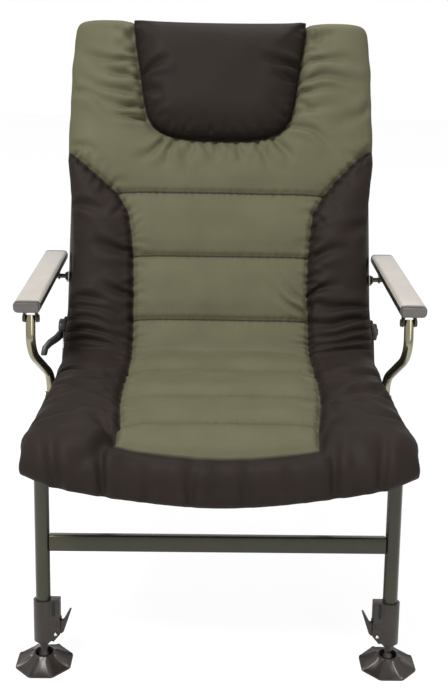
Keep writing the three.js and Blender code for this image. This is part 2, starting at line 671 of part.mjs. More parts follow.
// Mud foot: an eight-sided dish with pleated facets and a cup for the ball, drawn about the ball
function mudFoot() {
  const corner = FOOT_APOTHEM / Math.cos(Math.PI / FOOT_SIDES);
  const points = 2 * FOOT_SIDES;
  const ring = (radius, z, octagon, ridge) => Array.from({ length: points }, (_, i) => {
    const angle = (2 * Math.PI * i) / points;
    const onFlat = i % 2 === 0;
    const r = octagon && onFlat ? (radius * FOOT_APOTHEM) / corner : radius;
    return new THREE.Vector3(r * Math.cos(angle), r * Math.sin(angle), z - BALL_Z + (onFlat ? 0 : ridge));
  });
  const slope = (share) => corner + (FOOT_TOP_RADIUS - corner) * share;
  const height = (share) => FOOT_RIM + (FOOT_HEIGHT - FOOT_RIM) * share;
  const cupOuter = CUP_RADIUS + FOOT_WALL;
  const floor = CUP_LIFT + CUP_FLOOR;
  const { low, inside, high } = FOOT_SLOPE_SHARES;
  const rings = [
    ring(cupOuter, CUP_LIFT, false, 0),
    ring(cupOuter, height(1) - 2 * FOOT_WALL, false, 0),
    ring(slope(inside), height(inside) - FOOT_WALL, true, FOOT_RIDGE / 2),
    ring(corner - FOOT_WALL, 0, true, 0),
    ring(corner, 0, true, 0),
    ring(corner, FOOT_RIM / 2, true, 0),
    ring(slope(low), height(low), true, FOOT_RIDGE / 2),
    ring(slope(high), height(high), true, FOOT_RIDGE),
    ring(FOOT_TOP_RADIUS, FOOT_HEIGHT, false, 0),
    ring(CUP_RADIUS, FOOT_HEIGHT, false, 0),
    ring(CUP_RADIUS, floor, false, 0),
  ];
  const index = [];
  for (let row = 0; row < rings.length - 1; row += 1) {
    for (let i = 0; i < points; i += 1) {
      const [a, b] = [row * points + i, row * points + ((i + 1) % points)];
      index.push(a, b, a + points, b, b + points, a + points);
    }
  }
  const bottomCentre = rings.length * points;
  const floorRow = (rings.length - 1) * points;
  for (let i = 0; i < points; i += 1) {
    const next = (i + 1) % points;
    index.push(bottomCentre, next, i, bottomCentre + 1, floorRow + i, floorRow + next);
  }
  const centres = [new THREE.Vector3(0, 0, CUP_LIFT - BALL_Z), new THREE.Vector3(0, 0, floor - BALL_Z)];
  const dish = new THREE.BufferGeometry().setFromPoints([...rings.flat(), ...centres]);
  dish.setIndex(index);
  const notchHeight = FOOT_HEIGHT - NOTCH_FLOOR + OVERRUN;
  const notch = new THREE.BoxGeometry(NOTCH_WIDTH, NOTCH_REACH, notchHeight)
    .translate(0, -NOTCH_REACH / 2, NOTCH_FLOOR + notchHeight / 2 - BALL_Z);
  return cut(dish, notch);
}

function legSet(prefix, leg) {
  const angle = legAngle(leg);
  const length = legLength(leg);
  const frame = groupAt(ground, 0, leg.pivotY, pivotZ, angle);
  const barHalf = leg.x - RAIL_RADIUS - GAP;
  add(frame, `${prefix}_crossbar`, crossBar(barHalf, leg.barDrop / Math.cos(angle)), steelGreen);
  for (const [name, side] of SIDES) {
    const place = (geometry) => mirrored(geometry, -side).translate(side * leg.x, 0, 0);
    add(frame, `${prefix}_leg_${name}`, place(legTube(length)), steelGreen);
    add(frame, `${prefix}_sleeve_${name}`, place(sleeve(length)), sleevePlastic);
    add(frame, `${prefix}_extension_${name}`, place(extension(length)), sleevePlastic);
    const lever = camLever().translate(CAM_X, 0, SLEEVE_END + CAM_RISE - length);
    add(frame, `${prefix}_cam_lever_${name}`, place(lever), sleevePlastic);
    const stud = ballStud().translate(0, 0, -length);
    add(frame, `${prefix}_ball_stud_${name}`, place(stud), blackPlastic);
    const level = groupAt(ground, side * leg.x, leg.footY, BALL_Z);
    add(level, `${prefix}_foot_${name}`, mudFoot(), sleevePlastic);
  }
}

legSet('front', FRONT_LEG);
legSet('rear', REAR_LEG);

// Back frame, drawn up from the hinge with its front towards -Y, then leaned back
const back = groupAt(ground, 0, HINGE_Y, HINGE_Z, -RECLINE);

function backRail() {
  const tube = bentTube([
    [-RAIL_X, 0, -BACK_TAIL], [-RAIL_X, 0, BACK_LENGTH], [RAIL_X, 0, BACK_LENGTH], [RAIL_X, 0, -BACK_TAIL],
  ], [BACK_BEND, BACK_BEND], 6, RAIL_RADIUS, railInner, TUBE_SIDES);
  const reach = RAIL_RADIUS + OVERRUN;
  return cut(tube, ...[-RAIL_X, RAIL_X].map((x) => rodX(hingePinHole, x - reach, 2 * reach)));
}

add(back, 'back_rail', backRail(), steelGreen);
add(back, 'back_cross_tube',
  straightTubeX(rearTubeHalf, RAIL_RADIUS, railInner, 0, BACK_LENGTH * BACK_BAR_SHARE), steelGreen);

// Arm lugs: a pin for each armrest, carried ahead of the back rail on a welded plate
const armInner = RAIL_X + RAIL_RADIUS + GAP;
const clevisHalf = POST_RADIUS + GAP;
const armX = POST_HEAD.x;

function armLug() {
  const outline = new THREE.Shape();
  outline.moveTo(0, ARM_LUG_LENGTH - RIVET_HEAD);
  outline.lineTo(0, ARM_LUG_LENGTH + RIVET_HEAD * 2);
  outline.lineTo(-ARM_LUG_REACH, ARM_LUG_LENGTH + RIVET_HEAD);
  outline.absarc(-ARM_LUG_REACH, ARM_LUG_LENGTH, RIVET_HEAD, Math.PI / 2, 1.5 * Math.PI);
  outline.closePath();
  const plate = plateX(outline, armInner, PLATE);
  const pinLength = armX + clevisHalf + PLATE + GAP - armInner;
  const pin = rodX(RIVET_RADIUS, armInner, pinLength, -ARM_LUG_REACH, ARM_LUG_LENGTH);
  const head = rodX(RIVET_HEAD, armInner + pinLength, RIVET_HEAD_HEIGHT, -ARM_LUG_REACH, ARM_LUG_LENGTH);
  return join(plate, pin, head);
}

for (const [name, side] of SIDES) add(back, `arm_lug_${name}`, mirrored(armLug(), side), steelGreen);

// Armrest, drawn along the line of its two pivots with the rear pivot at the origin
function backPoint(along, ahead) {
  const [c, s] = [Math.cos(RECLINE), Math.sin(RECLINE)];
  return { y: HINGE_Y + along * s - ahead * c, z: HINGE_Z + along * c + ahead * s };
}

const armRear = backPoint(ARM_LUG_LENGTH, ARM_LUG_REACH);
const armSpan = Math.hypot(armRear.y - POST_HEAD.y, POST_HEAD.z - armRear.z);
const armAngle = -Math.atan2(POST_HEAD.z - armRear.z, armRear.y - POST_HEAD.y);
const armLow = ARM_LIFT - ARM_HEIGHT / 2;

function barY(shape, from, length) {
  return extrude(shape, length, 2).rotateX(Math.PI / 2).translate(armX, from + length, ARM_LIFT);
}

function armTube() {
  const outer = roundedRectangle(ARM_WIDTH, ARM_HEIGHT, ARM_CORNER);
  const inner = roundedRectangle(ARM_WIDTH - 2 * ARM_WALL, ARM_HEIGHT - 2 * ARM_WALL, ARM_CORNER - ARM_WALL);
  outer.holes.push(inner);
  return barY(outer, -armSpan - ARM_FRONT_OVERHANG, armSpan + ARM_FRONT_OVERHANG + ARM_REAR_OVERHANG);
}

function armCap(face, direction) {
  const room = ARM_WALL + GAP;
  const plugShape = roundedRectangle(ARM_WIDTH - 2 * room, ARM_HEIGHT - 2 * room, ARM_CORNER - room);
  const faces = [face + direction * GAP, face + direction * (GAP + CAP_LENGTH / 2)];
  const nose = face + direction * (GAP + CAP_LENGTH);
  const cover = barY(roundedRectangle(ARM_WIDTH, ARM_HEIGHT, ARM_CORNER), Math.min(...faces), CAP_LENGTH / 2);
  const tip = roundedRectangle(ARM_WIDTH - 2 * ARM_WALL, ARM_HEIGHT - 2 * ARM_WALL, ARM_CORNER - ARM_WALL);
  const dome = barY(tip, Math.min(faces[0], nose), CAP_LENGTH);
  const plug = barY(plugShape, Math.min(faces[0], face - direction * CAP_PLUG), CAP_PLUG + GAP);
  return join(cover, dome, plug);
}

// A folded channel under the armrest with two ears round a pivot
function clevis(y) {
  const outer = clevisHalf + PLATE;
  const web = new THREE.BoxGeometry(2 * outer, CLEVIS_LENGTH, PLATE)
    .translate(armX, y, armLow - GAP - PLATE / 2);
  const ears = [-outer, clevisHalf].map((x) => {
    const outline = new THREE.Shape();
    outline.moveTo(y + CLEVIS_LENGTH / 2, armLow - GAP);
    outline.lineTo(y - CLEVIS_LENGTH / 2, armLow - GAP);
    outline.absarc(y, 0, RIVET_HEAD, Math.PI, 2 * Math.PI);
    outline.closePath();
    return plateX(outline, armX + x, PLATE, 3);
  });
  return join(web, ...ears);
}

function rearClevis() {
  const outer = clevisHalf + PLATE + OVERRUN;
  return cut(clevis(0), rodX(rivetHole, armX - outer, 2 * outer, 0, 0));
}

// The front bolt shows as a head and a nut on the ears
function frontClevis() {
  const outer = clevisHalf + PLATE;
  const ends = [armX - outer - RIVET_HEAD_HEIGHT, armX + outer].map((x) => (
    rodX(RIVET_HEAD, x, RIVET_HEAD_HEIGHT, -armSpan, 0, BOLT_SIDES)));
  return join(clevis(-armSpan), ...ends);
}

// Arm post: a tube bent into an S in side view, riveted to the seat rail at its foot
function armPost() {
  const tube = bentTube([
    [postX, POST_FOOT.y, POST_FOOT.z - POST_TAIL],
    [postX, POST_HEEL.y, POST_HEEL.z],
    [POST_HEAD.x, POST_KNEE.y, POST_KNEE.z],
    [POST_HEAD.x, POST_HEAD.y, POST_HEAD.z + POST_TOP],
  ], [POST_BEND, POST_BEND], 4, POST_RADIUS, POST_RADIUS - RAIL_WALL, POST_SIDES);
  const reach = POST_RADIUS + OVERRUN;
  const ends = [[postX, POST_FOOT], [POST_HEAD.x, POST_HEAD]];
  return cut(tube, ...ends.map(([x, end]) => rodX(rivetHole, x - reach, 2 * reach, end.y, end.z)));
}

for (const [name, side] of SIDES) {
  add(ground, `arm_post_${name}`, mirrored(armPost(), side), steelBronze);
  const arm = groupAt(ground, 0, armRear.y, armRear.z, armAngle);
  add(arm, `armrest_${name}`, mirrored(armTube(), side), armGrey);
  const frontFace = -armSpan - ARM_FRONT_OVERHANG;
  add(arm, `armrest_front_cap_${name}`, mirrored(armCap(frontFace, -1), side), blackPlastic);
  add(arm, `armrest_rear_cap_${name}`, mirrored(armCap(ARM_REAR_OVERHANG, 1), side), blackPlastic);
  add(arm, `armrest_rear_clevis_${name}`, mirrored(rearClevis(), side), brightSteel);
  add(arm, `armrest_front_clevis_${name}`, mirrored(frontClevis(), side), brightSteel);
}

// Slings: a canvas panel over the rails, hemmed down the inner side of each rail. Drawn across X,
// with its upper face towards +Z, and pulled out along Y.
function sling(from, length) {
  const outer = railTop + SLING;
  const panelBottom = Math.asin(railTop / outer);
  const outline = new THREE.Shape();
  outline.moveTo(RAIL_X + HEM_OVERLAP, outer);
  outline.lineTo(-RAIL_X - HEM_OVERLAP, outer);
  outline.lineTo(-RAIL_X - HEM_OVERLAP, railTop);
  outline.lineTo(-RAIL_X, railTop);
  outline.absarc(-RAIL_X, 0, railTop, Math.PI / 2, 0, true);
  outline.absarc(-RAIL_X, 0, outer, 0, panelBottom, false);
  outline.absarc(RAIL_X, 0, outer, Math.PI - panelBottom, Math.PI, false);
  outline.absarc(RAIL_X, 0, railTop, Math.PI, Math.PI / 2, true);
  outline.lineTo(RAIL_X + HEM_OVERLAP, railTop);
  outline.closePath();
  return extrude(outline, length, HEM_STEPS).rotateX(Math.PI / 2).translate(0, from + length, 0);
}

const seatSling = sling(SLING_FRONT_Y, SLING_REAR_Y - SLING_FRONT_Y).translate(0, 0, SEAT_Z);
add(ground, 'seat_sling', seatSling, canvas);

// The back's sling stands up, so its hems are notched round the cross tube
function backSling() {
  const panel = sling(0, SLING_TOP - SLING_BOTTOM).rotateX(Math.PI / 2).translate(0, 0, SLING_BOTTOM);
  const tube = rodX(RAIL_RADIUS + GAP / 2, -RAIL_X, 2 * RAIL_X, 0, BACK_LENGTH * BACK_BAR_SHARE);
  return cut(panel, tube);
}

add(back, 'back_sling', backSling(), canvas);

// Padding. Each pad is skinned over rings of points: across the chair, then back underneath. The
// columns of a ring keep to the line between the middle panel and the bolster, where a groove runs.
const COLUMN_SHARES = [
  { out: 1, top: 0.42, under: 0.3, groove: 0 },
  { out: 0.965, top: 0.66, under: 0.1, groove: 0 },
  { out: 0.86, top: 0.86, under: 0, groove: 0 },
  { out: 0.65, top: 0.97, under: 0, groove: 0 },
  { out: 0.4, top: 1, under: 0, groove: 0 },
  { out: 0.16, top: 1, under: 0, groove: 0.2 },
  { out: 0, top: 1, under: 0, groove: 1 },
  { within: 0.84, top: 1, under: 0, groove: 0.27 },
  { within: 0.42, top: 1, under: 0, groove: 0 },
];
const MIDDLE_COLUMN = { within: 0, top: 1, under: 0, groove: 0, side: 1 };
const PLAIN_STATION = { width: 1, full: 1, seam: 0, bolster: 0.6, groove: 1 };

function padRing(station, halfWidth, rise, place) {
  const { along, width, full, seam, bolster, groove } = { ...PLAIN_STATION, ...station };
  const columns = [
    ...COLUMN_SHARES.map((column) => ({ ...column, side: -1 })),
    MIDDLE_COLUMN,
    ...COLUMN_SHARES.map((column) => ({ ...column, side: 1 })).reverse(),
  ].map((column) => {
    const middle = column.out === undefined;
    const at = middle ? bolster * column.within : bolster + (1 - bolster) * column.out;
    const dip = column.groove * groove * BOLSTER_DIP_SHARE + (middle ? seam * SEAM_DIP_SHARE : 0);
    return { x: column.side * at * halfWidth * width, top: column.top - dip, under: column.under };
  });
  const upper = columns.map(({ x, top }) => place(x, along, rise * full * top));
  const lower = columns.map(({ x, under }) => place(x, along, rise * full * under));
  return [...upper, ...lower.reverse()];
}

// A share read from a table of places and shares
function read(table, at) {
  const next = table.findIndex(([place]) => place > at);
  if (next < 0) return table[table.length - 1][1];
  if (next === 0) return table[0][1];
  const [low, high] = [table[next - 1], table[next]];
  return low[1] + ((high[1] - low[1]) * (at - low[0])) / (high[0] - low[0]);
}

// Stations up to each seam from the one before: the crown between them, then the seam's shoulders
function seamStations(from, seams) {
  const marks = [from, ...seams];
  return seams.flatMap((seam, i) => [
    { along: (marks[i] + seam) / 2 },
    { along: seam - SEAM_SHOULDER, seam: SHOULDER_SHARE },
    { along: seam, seam: 1 },
    { along: seam + SEAM_SHOULDER, seam: SHOULDER_SHARE },
  ]);
}

function pad(list, halfWidth, rise, place) {
  return loft(list.map((station) => padRing(station, halfWidth, rise, place)));
}

// A straight end that meets the next pad
const BUTT_SHARE = 0.86;
const butt = (end, along) => [
  { along: end, full: BUTT_SHARE },
  { along, full: (1 + BUTT_SHARE) / 2 },
];
const nearButt = EDGE_ROUND / 4;

// The seat pad runs forward over the front bar and turns down in front of it. Its lip hangs lower
// in the middle, with the bowed bar.
const padBase = SEAT_Z + railTop + SLING + GAP;
const turnFrom = PAD_SEAT_END - PAD_TURN_Y;
const quarterTurn = (PAD_TURN_RADIUS * Math.PI) / 2;

function seatPoint(x, along, height) {
  if (along <= turnFrom) return new THREE.Vector3(x, PAD_SEAT_END - along, padBase + height);
  const u = x / PAD_HALF_WIDTH;
  const lip = LIP_CORNER + (LIP_MIDDLE - LIP_CORNER) * (1 - u * u);
  const past = ((along - turnFrom) / LIP_MIDDLE) * lip;
  const turned = Math.min(past / quarterTurn, 1);
  const radius = PAD_TURN_RADIUS + height * (1 - (1 - LIP_THIN_SHARE) * turned);
  const angle = (turned * Math.PI) / 2;
  const z = padBase - PAD_TURN_RADIUS + radius * Math.cos(angle) - Math.max(past - quarterTurn, 0);
  return new THREE.Vector3(x, PAD_TURN_Y - radius * Math.sin(angle), z);
}

const seatLength = turnFrom + LIP_MIDDLE;
const seatSeams = SEAT_SEAM_SHARES.map((share) => share * turnFrom);
const seatStations = [
  ...butt(0, nearButt),
  ...seamStations(0, seatSeams),
  ...LIP_SHARES.map((share) => (
    { along: turnFrom + share * LIP_MIDDLE, seam: share === LIP_SEAM_SHARE ? 1 : 0 })),
  { along: seatLength - LIP_EDGE },
  { along: seatLength - LIP_EDGE / 2, width: 0.995, full: 0.8 },
  { along: seatLength, width: 0.985, full: 0.4 },
].map((station) => ({ ...station, bolster: read(SEAT_BOLSTER_SHARES, station.along / seatLength) }));
add(ground, 'seat_pad', pad(seatStations.reverse(), PAD_HALF_WIDTH, PAD_RISE, seatPoint), greenCloth);

// The back pad stands on the front of the back frame. It is narrowest above the armrests, and its
// bolsters run out to the sides below the pillow.
const backPlace = (x, along, height) => new THREE.Vector3(x, -(railTop + SLING + GAP) - height, along);
const backRun = PAD_BACK_END - PAD_BACK_START;
const backSeams = BACK_SEAM_SHARES.map((share) => PAD_BACK_START + share * backRun);
const BACK_EXTRA_SHARES = [0.4, 0.45, 0.78];
const backExtras = BACK_EXTRA_SHARES.map((share) => ({ along: PAD_BACK_START + share * backRun }));
const backStations = [
  ...butt(PAD_BACK_START, PAD_BACK_START + nearButt),
  ...seamStations(PAD_BACK_START, backSeams),
  ...backExtras,
  { along: PAD_BACK_END - EDGE_ROUND, full: 0.98 },
  { along: PAD_BACK_END - EDGE_ROUND / 2, width: 0.99, full: 0.84 },
  { along: PAD_BACK_END - EDGE_ROUND / 5, width: 0.965, full: 0.6 },
  { along: PAD_BACK_END, width: 0.93, full: 0.3 },
].sort((a, b) => a.along - b.along).map((station) => {
  const share = (station.along - PAD_BACK_START) / backRun;
  return {
    ...station,
    width: (station.width ?? 1) * read(BACK_WIDTH_SHARES, share),
    bolster: read(BACK_BOLSTER_SHARES, share),
    groove: read(BACK_GROOVE_SHARES, share),
  };
});
add(back, 'back_pad', pad(backStations, PAD_HALF_WIDTH, PAD_RISE, backPlace), greenCloth);

// Head pillow, sewn to the top of the back pad and narrower towards its lower edge
const pillowBase = PAD_RISE + GAP;
const pillowPlace = (x, along, height) => backPlace(x, along, pillowBase + height);
const pillowStations = PILLOW_SHARES.map(([share, width, full]) => (
  { along: PILLOW_END - PILLOW_LENGTH * (1 - share), width, full, groove: 0 }));
add(back, 'head_pillow', pad(pillowStations, PILLOW_HALF_WIDTH, PILLOW_RISE, pillowPlace), brownCloth);

// The folding part joins the seat pad to the back pad round the hinge
function foldPoint(x, share, height) {
  const seatEnd = new THREE.Vector3(x, PAD_SEAT_END + GAP, padBase + height);
  const lean = new THREE.Vector3(0, Math.sin(RECLINE), Math.cos(RECLINE));
  const out = new THREE.Vector3(0, -Math.cos(RECLINE), Math.sin(RECLINE));
  const backEnd = new THREE.Vector3(x, HINGE_Y, HINGE_Z)
    .addScaledVector(lean, PAD_BACK_START - GAP)
    .addScaledVector(out, railTop + SLING + GAP + height);
  const nearSeat = seatEnd.clone().add(new THREE.Vector3(0, FOLD_REACH, 0));
  const nearBack = backEnd.clone().addScaledVector(lean, -FOLD_REACH);
  return new THREE.CubicBezierCurve3(seatEnd, nearSeat, nearBack, backEnd).getPoint(share);
}

const foldWidth = read(BACK_WIDTH_SHARES, 0);
const foldStations = FOLD_SHARES.map((share) => ({
  along: share,
  width: 1 - (1 - foldWidth) * share,
  full: share === 0 || share === 1 ? BUTT_SHARE : 1,
  seam: share === FOLD_SEAM_SHARE ? 1 : 0,
}));
add(ground, 'fold_pad', pad(foldStations, PAD_HALF_WIDTH, PAD_RISE, foldPoint), greenCloth);

export default chair;
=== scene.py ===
# Fishing chair: a folding recliner on telescopic legs, with a quilted two-colour mattress

# The frame comes in as it was packed. Objects are in metres in the chair's own frame: -Y is the
# front, +Z is up, and the ground lies at zero. Sizes are written in mm, from the drawing's datum.
import json
import math
import random

import bmesh
import bpy
import numpy as np
from mathutils import Matrix, Vector, noise
from mathutils.bvhtree import BVHTree

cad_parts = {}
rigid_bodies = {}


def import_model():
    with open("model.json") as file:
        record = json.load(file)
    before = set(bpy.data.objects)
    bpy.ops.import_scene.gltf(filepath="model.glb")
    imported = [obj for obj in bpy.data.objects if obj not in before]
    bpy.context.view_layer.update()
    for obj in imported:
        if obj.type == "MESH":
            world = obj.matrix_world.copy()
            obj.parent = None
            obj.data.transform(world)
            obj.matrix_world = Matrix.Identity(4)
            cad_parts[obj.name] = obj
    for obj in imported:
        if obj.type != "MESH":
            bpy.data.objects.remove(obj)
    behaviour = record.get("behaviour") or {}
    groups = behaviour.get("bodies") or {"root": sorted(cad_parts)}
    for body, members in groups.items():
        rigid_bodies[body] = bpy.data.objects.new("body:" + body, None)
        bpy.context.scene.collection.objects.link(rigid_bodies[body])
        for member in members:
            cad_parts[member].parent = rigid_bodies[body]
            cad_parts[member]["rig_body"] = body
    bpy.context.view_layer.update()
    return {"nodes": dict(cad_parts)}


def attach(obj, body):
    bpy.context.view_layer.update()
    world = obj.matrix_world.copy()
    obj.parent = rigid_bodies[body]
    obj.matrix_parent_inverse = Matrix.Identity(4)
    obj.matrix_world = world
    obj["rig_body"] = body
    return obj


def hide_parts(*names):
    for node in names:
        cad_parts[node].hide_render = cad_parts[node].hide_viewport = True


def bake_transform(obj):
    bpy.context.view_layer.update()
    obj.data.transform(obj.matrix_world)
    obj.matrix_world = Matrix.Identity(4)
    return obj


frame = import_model()
scene = bpy.context.scene
MM = 0.001
BOX_SHIFT = 79.86  # mm from the drawing's datum to the middle of the chair's box


def at(x, y, z):
    """A point of the drawing, in mm from its datum, in the chair's frame."""
    return Vector((x * MM, (y - BOX_SHIFT) * MM, z * MM))


def placed(name, data):
    """An object in the scene with its data."""
    made = bpy.data.objects.new(name, data)
    scene.collection.objects.link(made)
    return made


# The studio: a long lens at a standing person's eye, a white paper floor that runs out of sight,
# and broad soft light from the front and above.
camera_data = bpy.data.cameras.new("product_camera")
camera_data.sensor_fit = "HORIZONTAL"
camera_data.sensor_width = 36
camera_data.lens = 80.3
camera = placed("product_camera", camera_data)
pitch, yaw, roll = (math.radians(a) for a in (18.17, 0.9, 0.99))
ahead = Vector((math.sin(yaw) * math.cos(pitch), math.cos(yaw) * math.cos(pitch),
                -math.sin(pitch)))
level = Vector((math.cos(yaw), -math.sin(yaw), 0))
overhead = level.cross(ahead)
across = level * math.cos(roll) + overhead * math.sin(roll)
upward = overhead * math.cos(roll) - level * math.sin(roll)
camera.matrix_world = Matrix((
    (across.x, upward.x, -ahead.x, 0),
    (across.y, upward.y, -ahead.y, 0),
    (across.z, upward.z, -ahead.z, 0),
    (0, 0, 0, 1),
))
camera.location = at(-16.84, -1530.59, 932.96)
scene.camera = camera
scene.view_settings.view_transform = "Standard"


def linear(colour):
    """A colour written as sRGB hex, as the renderer's linear numbers."""
    channels = [int(colour[i:i + 2], 16) / 255 for i in (1, 3, 5)]
    return (*(c / 12.92 if c <= 0.04045 else ((c + 0.055) / 1.055) ** 2.4 for c in channels), 1)


def wire(tree, kind, sockets=None, **settings):
    """Adds a node with its settings, and feeds its sockets from values or from other sockets."""
    made = tree.nodes.new(kind)
    for key, value in settings.items():
        setattr(made, key, value)
    for name, source in (sockets or {}).items():
        if isinstance(source, bpy.types.NodeSocket):
            tree.links.new(source, made.inputs[name])
        else:
            made.inputs[name].default_value = source
    return made


def new_material(name):
    """A node material without nodes yet, and its tree."""
    made = bpy.data.materials.new(name)
    made.use_nodes = True
    made.node_tree.nodes.clear()
    return made, made.node_tree


def surface(tree, **sockets):
    """Closes a material with its shader, each socket named in words."""
    names = {key.replace("_", " "): value for key, value in sockets.items()}
    shader = wire(tree, "ShaderNodeBsdfPrincipled", names)
    wire(tree, "ShaderNodeOutputMaterial", {"Surface": shader.outputs[0]})


def maths(tree, operation, *values):
    """A sum on numbers and sockets, as the socket that holds its result."""
    made = wire(tree, "ShaderNodeMath", dict(enumerate(values)), operation=operation)
    return made.outputs[0]


paper, tree = new_material("matt_white_paper")
seen = wire(tree, "ShaderNodeLightPath")
lit = wire(tree, "ShaderNodeBsdfPrincipled",
           {"Base Color": linear("#fbfbfa"), "Roughness": 0.9, "Specular IOR Level": 0.1})
bare = wire(tree, "ShaderNodeEmission", {"Color": linear("#ffffff"), "Strength": 1.07})
share = maths(tree, "MULTIPLY", seen.outputs["Is Camera Ray"], 0.88)
mixed = wire(tree, "ShaderNodeMixShader", {0: share, 1: lit.outputs[0], 2: bare.outputs[0]})
wire(tree, "ShaderNodeOutputMaterial", {"Surface": mixed.outputs[0]})
FLOOR_REACH = 9.0  # metres from the middle to each side
floor_corners = [(x * FLOOR_REACH, y * FLOOR_REACH, 0)
                 for x, y in ((-1, -1), (1, -1), (1, 1), (-1, 1))]
floor_mesh = bpy.data.meshes.new("studio_floor")
floor_mesh.from_pydata(floor_corners, [], [(0, 1, 2, 3)])
floor_mesh.materials.append(paper)
floor = placed("studio_floor", floor_mesh)

world = bpy.data.worlds.new("studio_light")
world.use_nodes = True
world.node_tree.nodes.clear()
# Surfaces are lit by a dim sky, while the camera and glossy coats see a white one
tree = world.node_tree
seen = wire(tree, "ShaderNodeLightPath")
direct = maths(tree, "MAXIMUM", seen.outputs["Is Camera Ray"], seen.outputs["Is Glossy Ray"])
strength = wire(tree, "ShaderNodeMix", {0: direct, 2: 0.3, 3: 1.0}, data_type="FLOAT")
sky = wire(tree, "ShaderNodeBackground",
           {"Color": linear("#ffffff"), "Strength": strength.outputs[0]})
wire(tree, "ShaderNodeOutputWorld", {"Surface": sky.outputs[0]})
scene.world = world

for name, place, target, size, power in (
    ("key_panel", (-1500, -2100, 4300), (0, 0, 450), 1.1, 265),
    ("fill_panel", (1900, -2800, 1500), (0, 0, 450), 1.6, 34),
    ("rim_panel", (200, 900, 2300), (0, 100, 500), 0.9, 16),
):
    lamp = bpy.data.lights.new(name, "AREA")
    lamp.size = size
    lamp.energy = power
    holder = placed(name, lamp)
    holder.location = at(*place)
    holder.rotation_euler = (at(*target) - at(*place)).to_track_quat("-Z", "Y").to_euler()


# Steel frame: 22 mm tube, bent, welded and powder coated in a dark green gloss. The coat has a
# faint orange peel and the corners of the pressed brackets are softened by its thickness.
TUBE_RADIUS = 11


def noise_on(tree, scale, detail, place=None):
    """Noise fixed to the piece, or to another place given, with its scale per metre."""
    place = place or wire(tree, "ShaderNodeTexCoord").outputs["Object"]
    sockets = {"Vector": place, "Scale": scale, "Detail": detail}
    return wire(tree, "ShaderNodeTexNoise", sockets).outputs["Fac"]


def between(tree, share, *colours):
    """A colour between two, each sRGB hex or another node's colour."""
    first, last = (linear(c) if isinstance(c, str) else c for c in colours)
    made = wire(tree, "ShaderNodeMix", {0: share, "A": first, "B": last}, data_type="RGBA")
    return made.outputs["Result"]


def ranged(tree, value, low, high, start=0.0, end=1.0, curve="LINEAR"):
    """A value's run from start to end, carried over to one from low to high."""
    sockets = {"Value": value, "From Min": start, "From Max": end, "To Min": low, "To Max": high}
    return wire(tree, "ShaderNodeMapRange", sockets, interpolation_type=curve).outputs[0]


def bumped(tree, height, strength, distance, under=None):
    """The normal of a height, laid over an earlier normal if there is one."""
    sockets = {"Height": height, "Strength": strength, "Distance": distance}
    if under is not None:
        sockets["Normal"] = under
    return wire(tree, "ShaderNodeBump", sockets).outputs[0]


coat, tree = new_material("dark_green_powder_coat")
cloud = noise_on(tree, 28, 4)
surface(tree, Base_Color=between(tree, cloud, "#262416", "#333120"),
        Roughness=ranged(tree, cloud, 0.2, 0.3), Specular_IOR_Level=0.3, Coat_Weight=0.1,
        Coat_Roughness=0.1, Normal=bumped(tree, noise_on(tree, 900, 2), 0.12, 0.0004))


def smoothed(mesh, crease):
    """Rounds the shading everywhere but at edges sharper than the crease, in degrees."""
    for polygon in mesh.polygons:
        polygon.use_smooth = True
    mesh.set_sharp_from_angle(angle=math.radians(crease))


def show(mesh, name, material, body, *nodes):
    """Puts a finished mesh in the scene, on its body, in the place of its CAD nodes."""
    mesh.materials.clear()
    mesh.materials.append(material)
    piece = placed(name, mesh)
    if body:
        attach(piece, body)
    if nodes:
        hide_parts(*nodes)
    return piece


WELD = 2e-5  # metres: nearer points of a solid are one
FLAT = math.radians(0.8)  # facets that meet at less are one face


def eased(node, material, edge, crease=38, swell=0.0):
    """A piece as drawn, with its sharp edges rounded over by the edge's width in mm."""
    source = frame["nodes"][node]
    shape = bmesh.new()
    shape.from_mesh(source.data)
    bmesh.ops.remove_doubles(shape, verts=shape.verts, dist=WELD)
    bmesh.ops.dissolve_limit(shape, angle_limit=FLAT, verts=shape.verts, edges=shape.edges)
    sharp = [e for e in shape.edges
             if e.is_manifold and e.calc_face_angle(0) > math.radians(crease)]
    if edge and sharp:
        bmesh.ops.bevel(shape, geom=sharp, offset=edge * MM, segments=2, profile=0.6,
                        affect="EDGES", clamp_overlap=True)
    if swell:
        shape.normal_update()
        for vertex in shape.verts:
            vertex.co += vertex.normal * swell * MM
    mesh = bpy.data.meshes.new(node + "_shown")
    shape.to_mesh(mesh)
    shape.free()
    smoothed(mesh, crease)
    return show(mesh, node + "_shown", material, source["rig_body"], node)


# A geometry tree for every tube: it sweeps a round section along the piece's centreline
sweep = bpy.data.node_groups.new("tube_on_a_centreline", "GeometryNodeTree")
for name, kind in (("Centreline", "Geometry"), ("Radius", "Float"), ("Finish", "Material")):
    sweep.interface.new_socket(name=name, in_out="INPUT", socket_type="NodeSocket" + kind)
sweep.interface.new_socket(name="Tube", in_out="OUTPUT", socket_type="NodeSocketGeometry")
given = wire(sweep, "NodeGroupInput")
line = wire(sweep, "GeometryNodeMeshToCurve", {"Mesh": given.outputs["Centreline"]})
section = wire(sweep, "GeometryNodeCurvePrimitiveCircle",
               {"Resolution": 32, "Radius": given.outputs["Radius"]})
tube = wire(sweep, "GeometryNodeCurveToMesh",
            {"Curve": line.outputs[0], "Profile Curve": section.outputs[0], "Fill Caps": True})
plain = wire(sweep, "GeometryNodeRealizeInstances", {"Geometry": tube.outputs[0]})
finish = wire(sweep, "GeometryNodeSetMaterial",
              {"Geometry": plain.outputs[0], "Material": given.outputs["Finish"]})
wire(sweep, "NodeGroupOutput", {"Tube": finish.outputs[0]})


